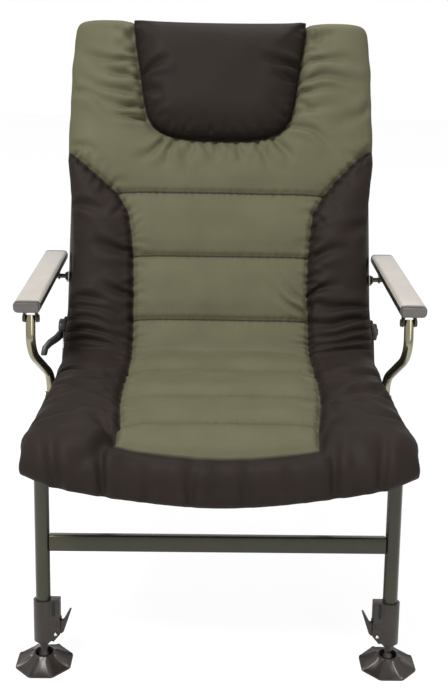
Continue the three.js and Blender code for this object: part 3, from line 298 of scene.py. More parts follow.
def evaluated(tree, mesh, **values):
    """Runs a geometry tree on a mesh and returns the plain mesh that comes out."""
    carrier = placed("carrier", mesh)
    modifier = carrier.modifiers.new("tree", "NODES")
    modifier.node_group = tree
    for item in tree.interface.items_tree:
        if item.in_out == "INPUT" and item.name in values:
            modifier[item.identifier] = values[item.name]
    bpy.context.view_layer.update()
    depsgraph = bpy.context.evaluated_depsgraph_get()
    result = bpy.data.meshes.new_from_object(carrier.evaluated_get(depsgraph))
    bpy.data.objects.remove(carrier)
    return result


def centreline(corners, bends, steps=12):
    """Straight runs between corners in mm, with an arc of the given bend radius at each."""
    points = [Vector(corners[0])]
    for i in range(1, len(corners) - 1):
        here = Vector(corners[i])
        back_way = (Vector(corners[i - 1]) - here).normalized()
        on_way = (Vector(corners[i + 1]) - here).normalized()
        half = back_way.angle(on_way) / 2
        centre = here + (back_way + on_way).normalized() * bends[i - 1] / math.sin(half)
        first = here + back_way * bends[i - 1] / math.tan(half) - centre
        axis = first.cross(-back_way).normalized()
        turn = math.pi - 2 * half
        for step in range(steps + 1):
            points.append(centre + Matrix.Rotation(turn * step / steps, 3, axis) @ first)
    points.append(Vector(corners[-1]))
    return points


def swept(name, points, radius, material, body, *nodes):
    """A tube along points given in metres, shown in the place of its nodes."""
    path = bpy.data.meshes.new(name)
    path.from_pydata(points, [(i, i + 1) for i in range(len(points) - 1)], [])
    mesh = evaluated(sweep, path, Radius=radius * MM, Finish=material)
    smoothed(mesh, 50)
    return show(mesh, name, material, body, *nodes)


SEAT_HEIGHT = 345
RAIL_X = 258
RAIL_REAR, RAIL_FRONT, RAIL_DIP = 172, -262, 24
REAR_TUBE_Y = 150
INSIDE = RAIL_X - TUBE_RADIUS
half_rail = [(RAIL_X * 0.45, RAIL_FRONT, SEAT_HEIGHT - RAIL_DIP),
             (RAIL_X, RAIL_FRONT, SEAT_HEIGHT), (RAIL_X, RAIL_REAR, SEAT_HEIGHT)]
rail_corners = [(-x, y, z) for x, y, z in reversed(half_rail)] + half_rail
swept("seat_rail_shown", [at(*p) for p in centreline(rail_corners, (42, 120, 120, 42))],
      TUBE_RADIUS, coat, "seat", "seat_rail")
swept("seat_rear_tube_shown", [at(x, REAR_TUBE_Y, SEAT_HEIGHT) for x in (-INSIDE, 0, INSIDE)],
      TUBE_RADIUS, coat, "seat", "seat_rear_tube")

HINGE = (170, 412)
LEAN = math.radians(25.7)


def on_back(x, along, out=0.0):
    """A point of the back, in mm: up from the hinge along the rails, and out of their front."""
    return at(x, HINGE[0] + along * math.sin(LEAN) - out * math.cos(LEAN),
              HINGE[1] + along * math.cos(LEAN) + out * math.sin(LEAN))


BELOW_HINGE, BACK_LENGTH = -13, 535
back_corners = [(-RAIL_X, 0, BELOW_HINGE), (-RAIL_X, 0, BACK_LENGTH), (RAIL_X, 0, BACK_LENGTH),
                (RAIL_X, 0, BELOW_HINGE)]
swept("back_rail_shown", [on_back(p[0], p[2]) for p in centreline(back_corners, (70, 70), 20)],
      TUBE_RADIUS, coat, "back", "back_rail")
swept("back_cross_tube_shown", [on_back(x, BACK_LENGTH * 0.22) for x in (-INSIDE, 0, INSIDE)],
      TUBE_RADIUS, coat, "back", "back_cross_tube")
for node in frame["nodes"]:
    if "bracket" in node or "hinge_plate" in node or "arm_lug" in node:
        eased(node, coat, 0.4)

# Each pair of legs: how far out it stands, and how far back its hinges and its feet's balls are
LEGS = (("front", 262, -183, -226), ("rear", 205, 150, 430))
HINGE_HEIGHT, BALL_HEIGHT = 318, 12.5
PAST_HINGE, SHORT_OF_BALL = 6, 32
for end, leg_x, top_y, foot_y in LEGS:
    drop = Vector((0, foot_y - top_y, BALL_HEIGHT - HINGE_HEIGHT))
    down = drop.normalized()
    for side, x in (("left", -leg_x), ("right", leg_x)):
        pivot = at(x, top_y, HINGE_HEIGHT)
        top = pivot - down * PAST_HINGE * MM
        bottom = pivot + drop * MM - down * SHORT_OF_BALL * MM
        swept(f"{end}_leg_{side}_shown", [top, (top + bottom) / 2, bottom], TUBE_RADIUS, coat,
              f"{end}_legs", f"{end}_leg_{side}")
    eased(f"{end}_crossbar", coat, 0.0)


# Arm posts: 15 mm tube bent into an S, in a bronze coat with more shine than the frame's. Each
# runs from a lug on the seat's rail up to the front of its armrest.
bronze, tree = new_material("bronze_metallic_coat")
cloud = noise_on(tree, 60, 5)
surface(tree, Base_Color=between(tree, cloud, "#7f7a66", "#908b75"), Metallic=0.95,
        Roughness=ranged(tree, cloud, 0.15, 0.2), Coat_Weight=0.2, Coat_Roughness=0.1)
POST_RADIUS = 7.5
for side, sign in (("left", -1), ("right", 1)):
    corners = [(sign * 276.8, 20, 333), (sign * 276.8, 24, 376), (sign * 292.6, -61, 443),
               (sign * 292.6, -48, 499.4)]
    swept(f"arm_post_{side}_shown", [at(*p) for p in centreline(corners, (40, 44))], POST_RADIUS,
          bronze, f"arm_post_{side}", f"arm_post_{side}")


# Armrests: flat oval steel tube, closed by moulded caps at both ends. Its top is painted warm grey,
# a painted reflection of the white backdrop, and the tube below that is left in its dark coat.
grey, tree = new_material("coat_with_painted_top_reflection")
# Faces that look up get a warm grey, a painted reflection of the backdrop over the dark coat
painted_top_reflection = wire(tree, "ShaderNodeAttribute", attribute_name="painted_top_reflection").outputs["Fac"]
cover = between(tree, noise_on(tree, 22, 4), "#9b958d", "#ada79f")
surface(tree, Base_Color=between(tree, painted_top_reflection, "#24231c", cover), Metallic=0.2, Roughness=0.36,
        Normal=bumped(tree, noise_on(tree, 700, 2), 0.08, 0.0003))

moulded, tree = new_material("black_moulded_nylon")
surface(tree, Base_Color=linear("#252322"), Roughness=0.48,
        Normal=bumped(tree, noise_on(tree, 1400, 3), 0.2, 0.0003))

satin_cap, tree = new_material("grey_satin_moulding")
surface(tree, Base_Color=between(tree, noise_on(tree, 35, 3), "#4c4947", "#5f5b58"),
        Metallic=0.3, Roughness=0.3, Normal=bumped(tree, noise_on(tree, 1200, 3), 0.1, 0.0003))

zinc, tree = new_material("bright_zinc_plate")
surface(tree, Base_Color=linear("#c8c5bf"), Metallic=1.0,
        Roughness=ranged(tree, noise_on(tree, 300, 4), 0.2, 0.42))

REFLECTION_TILT = 0.45  # a face that looks up more than this carries the painted reflection
for side in ("left", "right"):
    tube = eased(f"armrest_{side}", grey, 0.3, 40).data
    faces_up = [float(polygon.normal.z > REFLECTION_TILT) for polygon in tube.polygons]
    tube.attributes.new("painted_top_reflection", "FLOAT", "FACE").data.foreach_set("value", faces_up)
    for end in ("front", "rear"):
        eased(f"armrest_{end}_cap_{side}", satin_cap, 4.5, 40)
        eased(f"armrest_{end}_clevis_{side}", coat, 0.3)
    eased(f"post_rivet_{side}", zinc, 0.8)


# Recline release: a moulded lever on the left hub, a little thicker than drawn, and a plain
# cover on the right one
eased("recline_lever", moulded, 0.8, 45, 2.0)
eased("hinge_cover_right", moulded, 1.0, 45)


# Telescopic ends: a moulded sleeve with a cam clamp grips the inner tube. A ball on the tube's end
# turns in the socket of a ribbed mud foot.
clamp, tree = new_material("brown_black_glass_filled_nylon")
surface(tree, Base_Color=between(tree, noise_on(tree, 45, 3), "#1b1512", "#2a221d"),
        Roughness=0.38, Specular_IOR_Level=0.4,
        Normal=bumped(tree, noise_on(tree, 1000, 3), 0.12, 0.0003))

# Near-black painted shade for recesses: the floor and wall of each foot's ball socket, and the
# clamp's slot
painted_shade, tree = new_material("painted_shade_in_recesses")
surface(tree, Base_Color=between(tree, noise_on(tree, 900, 2), "#050404", "#0d0b0a"),
        Roughness=0.9)

FOOT_TURNS = 128
HALF_FLUTE = math.pi / 8
SOCKET_FACES = 2 * FOOT_TURNS  # the floor and the wall of the ball's socket come first
FOOT_WALL = 2.7


def fluted_foot(node):
    """A mud foot: eight flutes between raised ribs that run from the ball's socket to the rim."""
    source = frame["nodes"][node]
    corners = np.array([source.matrix_world @ Vector(c) for c in source.bound_box])
    low, high = corners.min(axis=0) / MM, corners.max(axis=0) / MM
    middle = (low + high) / 2
    half_width = (high[0] - low[0]) / 2
    top = high[2] - low[2]
    angle = np.linspace(0, 2 * math.pi, FOOT_TURNS, endpoint=False)
    off_flat = (angle + HALF_FLUTE) % (2 * HALF_FLUTE) - HALF_FLUTE
    off_rib = HALF_FLUTE - np.abs(off_flat)
    rim = np.minimum(half_width / np.cos(off_flat), half_width * 1.062)
    rings = [(13.0, 2.6), (13.0, top - 1.6), (13.6, top - 0.7), (14.6, top - 0.7),
             (15.4, top - 1.2)]
    outside = []
    for t in np.linspace(0.06, 1, 16):
        r = 15.7 + (rim - 15.7) * t
        rib = np.exp(-(off_rib * r / 1.6) ** 2) * min(1, (1 - t) * 6 + 0.5)
        flute = np.cos(off_flat * 4) ** 2 * math.sin(math.pi * t ** 0.8)
        rise = (top - 4.4) * (1 - t) ** 1.3 + 2.9 * rib * min(1, t * 5) - 1.3 * flute
        outside.append((r, 3 + rise))
    inside = [(r - 1.6, np.maximum(z - FOOT_WALL, 0.3)) for r, z in outside[-2:4:-2]]
    rings += [*outside, (rim + 0.5, 2.2), (rim + 0.4, 0.6), (rim - 0.4, 0.0), (rim - 2.2, 0.0)]
    rings += [*inside, (9.0, 0.6)]
    verts = [(0, 0, 2.6)]
    for r, z in rings:
        verts += zip(r * np.sin(angle), -r * np.cos(angle), np.broadcast_to(z, FOOT_TURNS))
    verts.append((0, 0, 0.6))
    steps = [(i, (i + 1) % FOOT_TURNS) for i in range(FOOT_TURNS)]
    faces = [(0, 1 + j, 1 + i) for i, j in steps]
    for k in range(len(rings) - 1):
        a, b = 1 + k * FOOT_TURNS, 1 + (k + 1) * FOOT_TURNS
        faces += [(a + i, a + j, b + j, b + i) for i, j in steps]
    last = 1 + (len(rings) - 1) * FOOT_TURNS
    faces += [(len(verts) - 1, last + i, last + j) for i, j in steps]
    base = Vector((middle[0], middle[1], low[2]))
    mesh = bpy.data.meshes.new(node + "_shown")
    mesh.from_pydata([(base + Vector(v)) * MM for v in verts], [], faces)
    shape = bmesh.new()
    shape.from_mesh(mesh)
    bmesh.ops.recalc_face_normals(shape, faces=shape.faces)
    shape.to_mesh(mesh)
    shape.free()
    smoothed(mesh, 42)
    show(mesh, node + "_shown", clamp, node, node)
    # The socket's floor and wall are given the near-black painted shade
    mesh.materials.append(painted_shade)
    for face in mesh.polygons[:SOCKET_FACES]:
        face.material_index = 1


# Each clamp's face is met from the front to seat its bolt head, slot and moulded ribs on it. Each
# detail has its place in and up from the ball, its width and height, and how proud it stands.
SUNK = 0.6
CLAMP_DETAILS = (
    ("bolt", 19, 38, 2.6, 2.6, 1.5), ("slot", 16.2, 79, 4.2, 22, 1.7),
    ("ribs", 20, 50, 11, 1.2, 0.6), ("ribs", 20, 54, 11, 1.2, 0.6),
    ("ribs", 20, 58, 11, 1.2, 0.6), ("ribs", 20, 82, 9.5, 12, 0.5))
for end, leg_x, top_y, foot_y in LEGS:
    for side, sign in (("left", -1), ("right", 1)):
        for piece in ("sleeve", "cam_lever"):
            eased(f"{end}_{piece}_{side}", clamp, 0.7)
        fluted_foot(f"{end}_foot_{side}")
        eased(f"{end}_ball_stud_{side}", clamp, 0.0, 50)
        eased(f"{end}_extension_{side}", clamp, 0.3, 50)
        sleeve = frame["nodes"][f"{end}_sleeve_{side}"]
        hull = BVHTree.FromPolygons([sleeve.matrix_world @ v.co for v in sleeve.data.vertices],
                                    [tuple(p.vertices) for p in sleeve.data.polygons])
        along = Vector((0, top_y - foot_y, HINGE_HEIGHT - BALL_HEIGHT)).normalized()
        inward = Vector((-sign, 0, 0))
        facing = Vector((0, -along.z, along.y))
        turn = Matrix((inward, along, facing)).transposed().to_4x4()
        ball = at(sign * leg_x, foot_y, BALL_HEIGHT)
        shapes = {"bolt": bmesh.new(), "slot": bmesh.new(), "ribs": bmesh.new()}
        for kind, off, up, wide, tall, proud in CLAMP_DETAILS:
            start = ball + (inward * off + along * up + facing * 60) * MM
            hit = hull.ray_cast(start, -facing)[0]
            if hit is None:
                continue
            if kind == "bolt":
                spot = Matrix.Diagonal((wide * MM, tall * MM, proud * MM, 1))
                bmesh.ops.create_uvsphere(shapes[kind], u_segments=20, v_segments=10, radius=1,
                                          matrix=Matrix.Translation(hit) @ turn @ spot)
                continue
            middle = Matrix.Translation(hit + facing * (proud / 2 - SUNK / 2) * MM)
            spot = Matrix.Diagonal((wide * MM, tall * MM, (proud + SUNK) * MM, 1))
            made = bmesh.ops.create_cube(shapes[kind], size=1, matrix=middle @ turn @ spot)
            edges = list({e for v in made["verts"] for e in v.link_edges})
            bmesh.ops.bevel(shapes[kind], geom=edges, offset=0.25 * MM, segments=2, profile=0.6,
                            affect="EDGES")
        # The slot is a near-black box of painted shade, where the clamp's recess lies in shade
        for kind, finish, slot in (("bolt", zinc, "bright_steel"),
                                   ("slot", painted_shade, "clamp_plastic"),
                                   ("ribs", clamp, "clamp_plastic")):
            if shapes[kind].verts:
                mesh = bpy.data.meshes.new(kind)
                shapes[kind].to_mesh(mesh)
                smoothed(mesh, 40)
                show(mesh, f"{end}_sleeve_{kind}_{side}", finish, f"{end}_legs")
            shapes[kind].free()


# Slings: black woven canvas stretched between the rails and hemmed along each of them, under
# the mattress
canvas, tree = new_material("black_polyester_canvas")
place = wire(tree, "ShaderNodeTexCoord").outputs["Object"]
warp, weft = (wire(tree, "ShaderNodeTexWave", {"Vector": place, "Scale": 260.0, "Distortion": 1.0},
                   bands_direction=way).outputs["Fac"] for way in ("X", "Y"))
surface(tree, Base_Color=linear("#22221f"), Roughness=0.85, Sheen_Weight=0.2,
        Normal=bumped(tree, maths(tree, "MULTIPLY", warp, weft), 0.35, 0.0005))
seat_sling = eased("seat_sling", canvas, 0.0, 40)
back_sling = eased("back_sling", canvas, 0.0, 40)


# Mattress: one quilted pad for seat and back, with green panels in the middle and brown bolsters.
# Two layers of polyester are sewn round the edge and through in channels over a thick wadding.
PAD_HALF = 268.0
PAD_BASE = SEAT_HEIGHT + 11.3 + 2.5 + 0.3  # over the rail, the sling and a little air
PAD_THICK = 44.0
FRONT_TURN = -258.0
TURN_RADIUS = 25.0
LIP_SHARE = 0.72
LIP_CORNER = 32.0
LIP_MIDDLE = 71.0
SEAT_END = 96.0
BACK_START = 84.0
BACK_TOP = 560.0
BACK_OUT = 14.1


def fold_line():
    """The under face between seat and back: seat end, handles along both, back start, in mm."""
    start = np.array((SEAT_END, PAD_BASE))
    rise = np.array((math.sin(LEAN), math.cos(LEAN)))
    face = np.array((-math.cos(LEAN), math.sin(LEAN)))
    end = np.array(HINGE) + rise * BACK_START + face * BACK_OUT
    handles = (start, start + (30, 0), end - rise * 30, end)
    t = np.linspace(0, 1, 41)[:, None]
    weights = ((1 - t) ** 3, 3 * t * (1 - t) ** 2, 3 * t * t * (1 - t), t ** 3)
    return sum(w * h for w, h in zip(weights, handles))


fold = fold_line()
fold_length = float(np.linalg.norm(np.diff(fold, axis=0), axis=1).sum())
SEAT_LENGTH = SEAT_END - FRONT_TURN
TOTAL = LIP_MIDDLE + SEAT_LENGTH + fold_length + BACK_TOP - BACK_START
HEM_DIP, DIP_HALF, DIP_FROM = 7.0, 158.0, 500.0


def mattress_point(x, s, height):
    """Points across one row: x across, s along the under face from the hem, height out of it."""
    u = np.clip(x / PAD_HALF, -1, 1)
    if s < LIP_MIDDLE:
        hang = LIP_CORNER + (LIP_MIDDLE - LIP_CORNER) * (1 - np.abs(u) ** 1.7)
        past = (LIP_MIDDLE - s) / LIP_MIDDLE * hang
        quarter = TURN_RADIUS * math.pi / 2
        turn = np.clip(past / quarter, 0, 1)
        radius = TURN_RADIUS + height * (1 - (1 - LIP_SHARE) * turn)
        angle = turn * math.pi / 2
        y = FRONT_TURN - radius * np.sin(angle)
        z = PAD_BASE - TURN_RADIUS + radius * np.cos(angle) - np.maximum(past - quarter, 0)
        return x, y, z
    s -= LIP_MIDDLE
    if s < SEAT_LENGTH:
        return x, np.full_like(x, FRONT_TURN + s), PAD_BASE + height
    s -= SEAT_LENGTH
    if s < fold_length:
        place = s / fold_length * (len(fold) - 1)
        i = min(int(place), len(fold) - 2)
        here = fold[i] + (fold[i + 1] - fold[i]) * (place - i)
        run = fold[min(i + 2, len(fold) - 1)] - fold[max(i - 1, 0)]
        run = run / np.linalg.norm(run)
        return x, here[0] - run[1] * height, here[1] + run[0] * height
    # The top hem dips a little behind the pillow
    up = s - fold_length + BACK_START
    dip = HEM_DIP / (1 + np.exp((np.abs(x) - DIP_HALF) / 5))
    up = up - dip * max(up - DIP_FROM, 0) / 60
    return (x, HINGE[0] + up * math.sin(LEAN) - (BACK_OUT + height) * math.cos(LEAN),
            HINGE[1] + up * math.cos(LEAN) + (BACK_OUT + height) * math.sin(LEAN))


def s_of_seat(y):
    return LIP_MIDDLE + y - FRONT_TURN


def s_of_back(up):
    return LIP_MIDDLE + SEAT_LENGTH + fold_length + up - BACK_START


# The border between green and brown: distance along the pad, half width on the left and right
border = np.array(
    [(0, 146, 136), (58, 146, 137)]
    + [(s_of_seat(y), *halves) for y, *halves in (
        (-222, 142, 141), (-112, 152, 156), (8, 150, 158))]
    + [(s_of_back(up), *halves) for up, *halves in (
        (8, 150, 155), (70, 151, 153), (123, 153, 156), (160, 156, 159), (200, 163, 164),
        (235, 182, 182), (262, 212, 205), (290, 245, 231), (308, 266, 250), (320, 284, 266),
        (332, 294, 290))])
FRONT_BAND = 52.0
PILLOW_MIDDLE = -4.0
SEAM_Y, SEAM_UP = (-214, -107, 12), (6, 123, 237)
seams = [*map(s_of_seat, SEAM_Y), *map(s_of_back, SEAM_UP)]
widths = np.array(
    [(0, 272)] + [(s_of_seat(y), wide) for y, wide in ((-250, 275), (-150, 268), (60, 268))]
    + [(s_of_back(up), wide) for up, wide in (
        (-5, 268), (60, 262), (130, 257), (225, 265), (300, 273), (420, 272), (520, 268))]
    + [(TOTAL, 264)])
pillow_outline = np.array([
    (0, 335), (58, 337), (86, 342), (105, 350), (118, 361), (126, 376), (133, 402), (138, 435),
    (143, 470), (151, 520), (157, 566)])
pillow_ring = np.concatenate([pillow_outline[::-1] * (-1, 1), pillow_outline])


def ripple(x, s, scale_x, scale_s, seed):
    """Soft noise with its own scale across and along the pad, from -1 to 1."""
    pairs = np.broadcast(x, s)
    values = [noise.noise(Vector((a / scale_x, b / scale_s, seed))) for a, b in pairs]
    return np.array(values).reshape(pairs.shape)


def gap_to(line, a, b):
    """Distance in mm from points (a, b) to a chain of points."""
    nearest = np.full(np.shape(a), 1e9)
    for (a0, b0), (a1, b1) in zip(line[:-1], line[1:]):
        run = np.array((a1 - a0, b1 - b0))
        t = np.clip(((a - a0) * run[0] + (b - b0) * run[1]) / (run @ run), 0, 1)
        nearest = np.minimum(nearest, np.hypot(a - a0 - t * run[0], b - b0 - t * run[1]))
    return nearest


def panels(x, s):
    """Distances in mm: into the brown, into the pillow's place, and off the nearest cross seam."""
    side = np.abs(x)
    left, right = ((np.interp(s, border[:, 0], border[:, k]), gap_to(border[:, [0, k]], s, side))
                   for k in (1, 2))
    half, gap = (np.where(x < 0, a, b) for a, b in zip(left, right))
    brown = (side > half) & (s < border[-1, 0])
    colour = np.where(brown, 1, -1) * gap
    colour = np.maximum(colour, FRONT_BAND + 4.6 * (x / 138) ** 2 - s)
    up = s - s_of_back(0)
    beside = np.abs(x - PILLOW_MIDDLE)
    low = np.interp(beside, pillow_outline[:, 0], pillow_outline[:, 1], right=1e4)
    pillow_gap = np.where(up > low, 1, -1) * gap_to(pillow_outline, beside, up)
    cross = np.min([np.abs(s - seam) for seam in seams], axis=0)
    return colour, pillow_gap, cross


def gathers(line, spacing, reach, depth, ways, seed, slant):
    """Short folds that a seam draws in the cloth beside it: start, end, depth and width, in mm."""
    luck = random.Random(seed)
    made = []
    travelled = 0.0
    for (a0, b0), (a1, b1) in zip(line[:-1], line[1:]):
        length = math.hypot(a1 - a0, b1 - b0)
        while travelled < length:
            t = travelled / length
            for way in ways:
                turn = math.atan2(a0 - a1, b1 - b0) + luck.uniform(-slant, slant)
                far = reach * luck.uniform(0.45, 1.25) * way
                a, b = a0 + (a1 - a0) * t, b0 + (b1 - b0) * t
                made.append((a, b, a + far * math.cos(turn), b + far * math.sin(turn),
                             depth * luck.uniform(0.35, 1.1),
                             luck.uniform(0.8, 1.3) * (2.9 + reach * 0.036)))
            travelled += spacing * luck.uniform(0.6, 1.4)
        travelled -= length
    return made


def fold_height(x, s, folds):
    """What folds add to the cloth, in mm: a valley along each line with a ridge on both sides."""
    total = np.zeros(np.shape(x))
    for x0, s0, x1, s1, depth, width in folds:
        length = math.hypot(x1 - x0, s1 - s0)
        t = ((x - x0) * (x1 - x0) + (s - s0) * (s1 - s0)) / length ** 2
        off = ((x - x0) * (s1 - s0) - (s - s0) * (x1 - x0)) / length
        off = off + 0.07 * length * np.sin(np.clip(t, 0, 1) * 3)
        taper = np.where(t < 0, np.exp(-(t * length / width) ** 2), np.clip(1 - t, 0, 1) ** 0.8)
        wide = width * (0.8 + 0.7 * np.clip(t, 0, 1))
        total += depth * taper * (0.55 * np.exp(-((off - 1.8 * wide) / (1.4 * wide)) ** 2)
                                  + 0.35 * np.exp(-((off + 1.9 * wide) / (1.5 * wide)) ** 2)
                                  - np.exp(-(off / wide) ** 2))
    return total


left_border = np.column_stack([-border[:, 1], border[:, 0]])[::-1]
right_border = border[:, [2, 0]]
folds = gathers(left_border[:-2], 17, 34, 1.2, (-1, 1), 1, 0.7)
folds += gathers(right_border[2:], 17, 34, 1.2, (-1, 1), 2, 0.7)
folds += gathers(pillow_ring + (PILLOW_MIDDLE, s_of_back(0)), 15, 58, 2.2, (1,), 3, 0.75)
for k, seam in enumerate(seams):
    folds += gathers([(-150, seam), (150, seam)], 11, 11, 0.6, (-1, 1), 10 + k, 0.3)
for k, side in enumerate((-1, 1)):
    rim_line = np.column_stack([side * (widths[:, 1] - 3), widths[:, 0]])
    folds += gathers(rim_line, 24, 34, 1.1, (side,), 30 + k, 0.8)
folds += gathers([(-250, 2), (250, 2)], 38, 40, 0.9, (1,), 40, 0.35)
# The larger folds on the back, up from the hinge: beside the pillow, in the corners of the
# bolsters and where the back meets the seat
folds += [(x0, s_of_back(up0), x1, s_of_back(up1), *size) for x0, up0, x1, up1, *size in (
    (-158, 478, -256, 492, 4.2, 6), (-150, 446, -226, 470, 5.4, 6), (-145, 416, -258, 446, 4.6, 7),
    (-140, 392, -236, 416, 3.6, 6), (-134, 366, -222, 398, 3.4, 6), (-104, 332, -152, 292, 4.0, 6),
    (-84, 334, -104, 276, 3.0, 6), (-52, 332, -70, 286, 2.4, 6), (-10, 332, -16, 296, 1.8, 6),
    (140, 474, 258, 478, 4.4, 6), (136, 446, 266, 440, 5.0, 7), (132, 418, 226, 424, 4.2, 6),
    (128, 386, 214, 392, 3.2, 6), (124, 362, 196, 326, 4.4, 6), (94, 336, 126, 290, 4.2, 6),
    (62, 332, 84, 282, 2.6, 6), (28, 332, 38, 292, 2.0, 6), (-262, 420, -186, 384, 2.6, 9),
    (264, 400, 190, 364, 2.6, 9), (-176, 552, -163, 482, 2.4, 6), (172, 552, 160, 494, 2.4, 6),
    (-272, 326, -216, 300, 2.4, 6), (272, 330, 222, 306, 2.4, 6), (152, 10, 92, 70, 3.2, 5),
    (153, 34, 104, 92, 2.4, 5), (-268, 214, -196, 196, 2.2, 8), (-158, 128, -226, 146, 2.6, 8),
    (160, 118, 232, 140, 2.6, 8), (266, 190, 204, 170, 2.0, 8), (-266, 44, -170, 26, 4.0, 7),
    (-268, 30, -152, -4, 4.6, 8), (-268, 8, -158, -26, 4.2, 7), (-266, -14, -150, -52, 4.4, 8),
    (-262, -38, -160, -72, 3.4, 7), (-156, 52, -214, 64, 2.8, 7), (268, 40, 168, 30, 4.0, 7),
    (268, 22, 156, -2, 4.6, 8), (268, 2, 160, -34, 4.2, 7), (266, -22, 158, -56, 3.8, 8),
    (160, 54, 216, 70, 2.8, 7), (262, -44, 164, -84, 3.0, 7),
)]
# Those on the seat, from the front hem: round the lip and in its bolsters
folds += [
    (-147, 62, -206, 40, 3.4, 8), (-148, 70, -176, 128, 2.8, 8), (139, 60, 196, 38, 2.6, 8),
    (142, 74, 168, 120, 2.0, 8), (-38, 0, -35, 60, 3.6, 6), (-157, 0, -147, 84, 3.8, 7),
    (36, 0, 44, 56, 2.6, 7), (163, 0, 152, 80, 3.4, 7), (-100, 0, -92, 52, 2.0, 7),
    (104, 0, 95, 52, 2.0, 7), (-214, 0, -226, 80, 2.6, 8), (218, 0, 232, 80, 2.6, 8),
    (-266, 250, -172, 206, 2.8, 10), (-152, 300, -228, 262, 2.4, 10),
    (-266, 320, -182, 286, 2.6, 9), (266, 260, 176, 214, 2.8, 10), (158, 306, 230, 276, 2.4, 10),
    (266, 330, 184, 300, 2.6, 9), (-150, 150, -214, 176, 2.4, 9), (150, 158, 212, 186, 2.4, 9),
    (-262, 100, -190, 150, 2.6, 10), (-264, 190, -196, 214, 2.4, 10), (264, 120, 190, 168, 2.6, 10),
    (264, 214, 200, 236, 2.4, 10),
]

FAR = 99.0  # mm, too far off for a seam to show


def sewn_height(x, s, half):
    """Height of the cover and how far its seams pull it down, before its filling lifts it."""
    colour, pillow_gap, cross = panels(x, s)
    rim = np.clip((np.abs(x) / half - 0.8) / 0.2, 0, 1)
    dome = 0.34 + 0.66 * np.sqrt(np.maximum(1 - rim ** 2.3, 0))
    start = np.minimum(s / 15, 1)
    end = np.minimum((TOTAL - s) / 20, 1)
    ends = (0.55 + 0.45 * np.sqrt(1 - (1 - start) ** 2)) * (0.4 + 0.6 * np.sqrt(1 - (1 - end) ** 2))
    inside = 1 / (1 + np.exp(np.clip(colour, -60, 60) / 3))
    crease = (0.15 * np.exp(-(cross / 4.5) ** 2) + 0.12 * np.exp(-(cross / 20) ** 2)) * inside
    crease = crease * np.where(s < s_of_seat(60), 1.9, 1.0)
    edge = np.abs(colour)
    valley = 0.22 * np.exp(-(edge / 5.5) ** 2) + 0.17 * np.exp(-(edge / 24) ** 2)
    valley = valley - 0.05 * np.exp(-((colour - 42) / 24) ** 2)
    off_pillow = np.minimum(pillow_gap, 0)
    round_pillow = 0.26 * np.exp(-(off_pillow / 9) ** 2) + 0.1 * np.exp(-(off_pillow / 30) ** 2)
    plain = (PAD_THICK * 0.95 + ripple(x, s, 110, 80, 5.9) * 3.0) * dome * ends
    drop = PAD_THICK * dome * ends * (crease + valley + round_pillow)
    # A count that is whole on each seam, so that the shader finds one between two grid points
    first, last = seams[0], seams[-1]
    places, counts = [first - 50], [-0.45]
    for k, seam in enumerate(seams):
        # The seat is seen at a low angle, so its seams are drawn wider there than on the back
        slow = 0.04 if seam < s_of_seat(60) else 0.072
        places += [seam - 8, seam, seam + 8]
        counts += [k - slow, k, k + slow]
    count = np.interp(s, [*places, last + 50], [*counts, len(seams) - 0.55])
    return plain, drop, colour, pillow_gap, cross + FAR * (inside < 0.5), count


FRAMES = 20


def puffed(grid, held, pressure, cap):
    """Blows a cover up with Blender's cloth: held points stay, the rest move by up to cap mm."""
    coarse = grid[::2, ::2]
    count_a, count_b = coarse.shape[:2]
    faces = [(i * count_b + j, i * count_b + j + 1, (i + 1) * count_b + j + 1,
              (i + 1) * count_b + j) for i in range(count_a - 1) for j in range(count_b - 1)]
    mesh = bpy.data.meshes.new("cover")
    mesh.from_pydata(coarse.reshape(-1, 3), [], faces)
    cover = placed("cover", mesh)
    group = cover.vertex_groups.new(name="held")
    flat_held = held[::2, ::2].reshape(-1)
    for level in (0.25, 0.5, 0.75, 1.0):
        chosen = np.nonzero((flat_held > level - 0.25) & (flat_held <= level))[0]
        group.add([int(i) for i in chosen], level, "REPLACE")
    cloth = cover.modifiers.new("filling", "CLOTH")
    for key, value in (
        ("quality", 5), ("mass", 0.15), ("tension_stiffness", 15), ("compression_stiffness", 8),
        ("shear_stiffness", 5), ("bending_stiffness", 15), ("air_damping", 1.5),
        ("use_pressure", True), ("uniform_pressure_force", pressure),
        ("vertex_group_mass", "held"),
    ):
        setattr(cloth.settings, key, value)
    cloth.settings.effector_weights.gravity = 0
    cloth.collision_settings.use_collision = False
    cloth.point_cache.frame_start = 1
    cloth.point_cache.frame_end = FRAMES
    for step in range(1, FRAMES + 1):
        scene.frame_set(step)
    shaped = cover.evaluated_get(bpy.context.evaluated_depsgraph_get()).to_mesh()
    moved = np.empty(len(shaped.vertices) * 3)
    shaped.vertices.foreach_get("co", moved)
    bpy.data.objects.remove(cover)
    scene.frame_set(1)
    move = moved.reshape(coarse.shape) - coarse
    length = np.linalg.norm(move, axis=2, keepdims=True) + 1e-9
    limit = cap * MM
    move = move / length * limit * np.tanh(length / limit)
    for axis in (0, 1):
        size = grid.shape[axis]
        places = np.arange(size) / 2
        low = np.minimum(places.astype(int), move.shape[axis] - 2)
        part = (places - low).reshape((-1, 1, 1) if axis == 0 else (1, -1, 1))
        move = move.take(low, axis) * (1 - part) + move.take(low + 1, axis) * part
        move = eased_along(move, axis, 2)
    return grid + move


def eased_along(values, axis, rounds, share=None):
    """Averages a grid with its neighbours along one axis, wholly or by a share for each point."""
    for _ in range(rounds):
        size = values.shape[axis]
        wide = np.concatenate([values.take([0], axis), values, values.take([-1], axis)], axis)
        mean = sum(w * wide.take(range(k, k + size), axis) for k, w in enumerate((0.25, 0.5, 0.25)))
        values = mean if share is None else values + (mean - values) * share
    return values


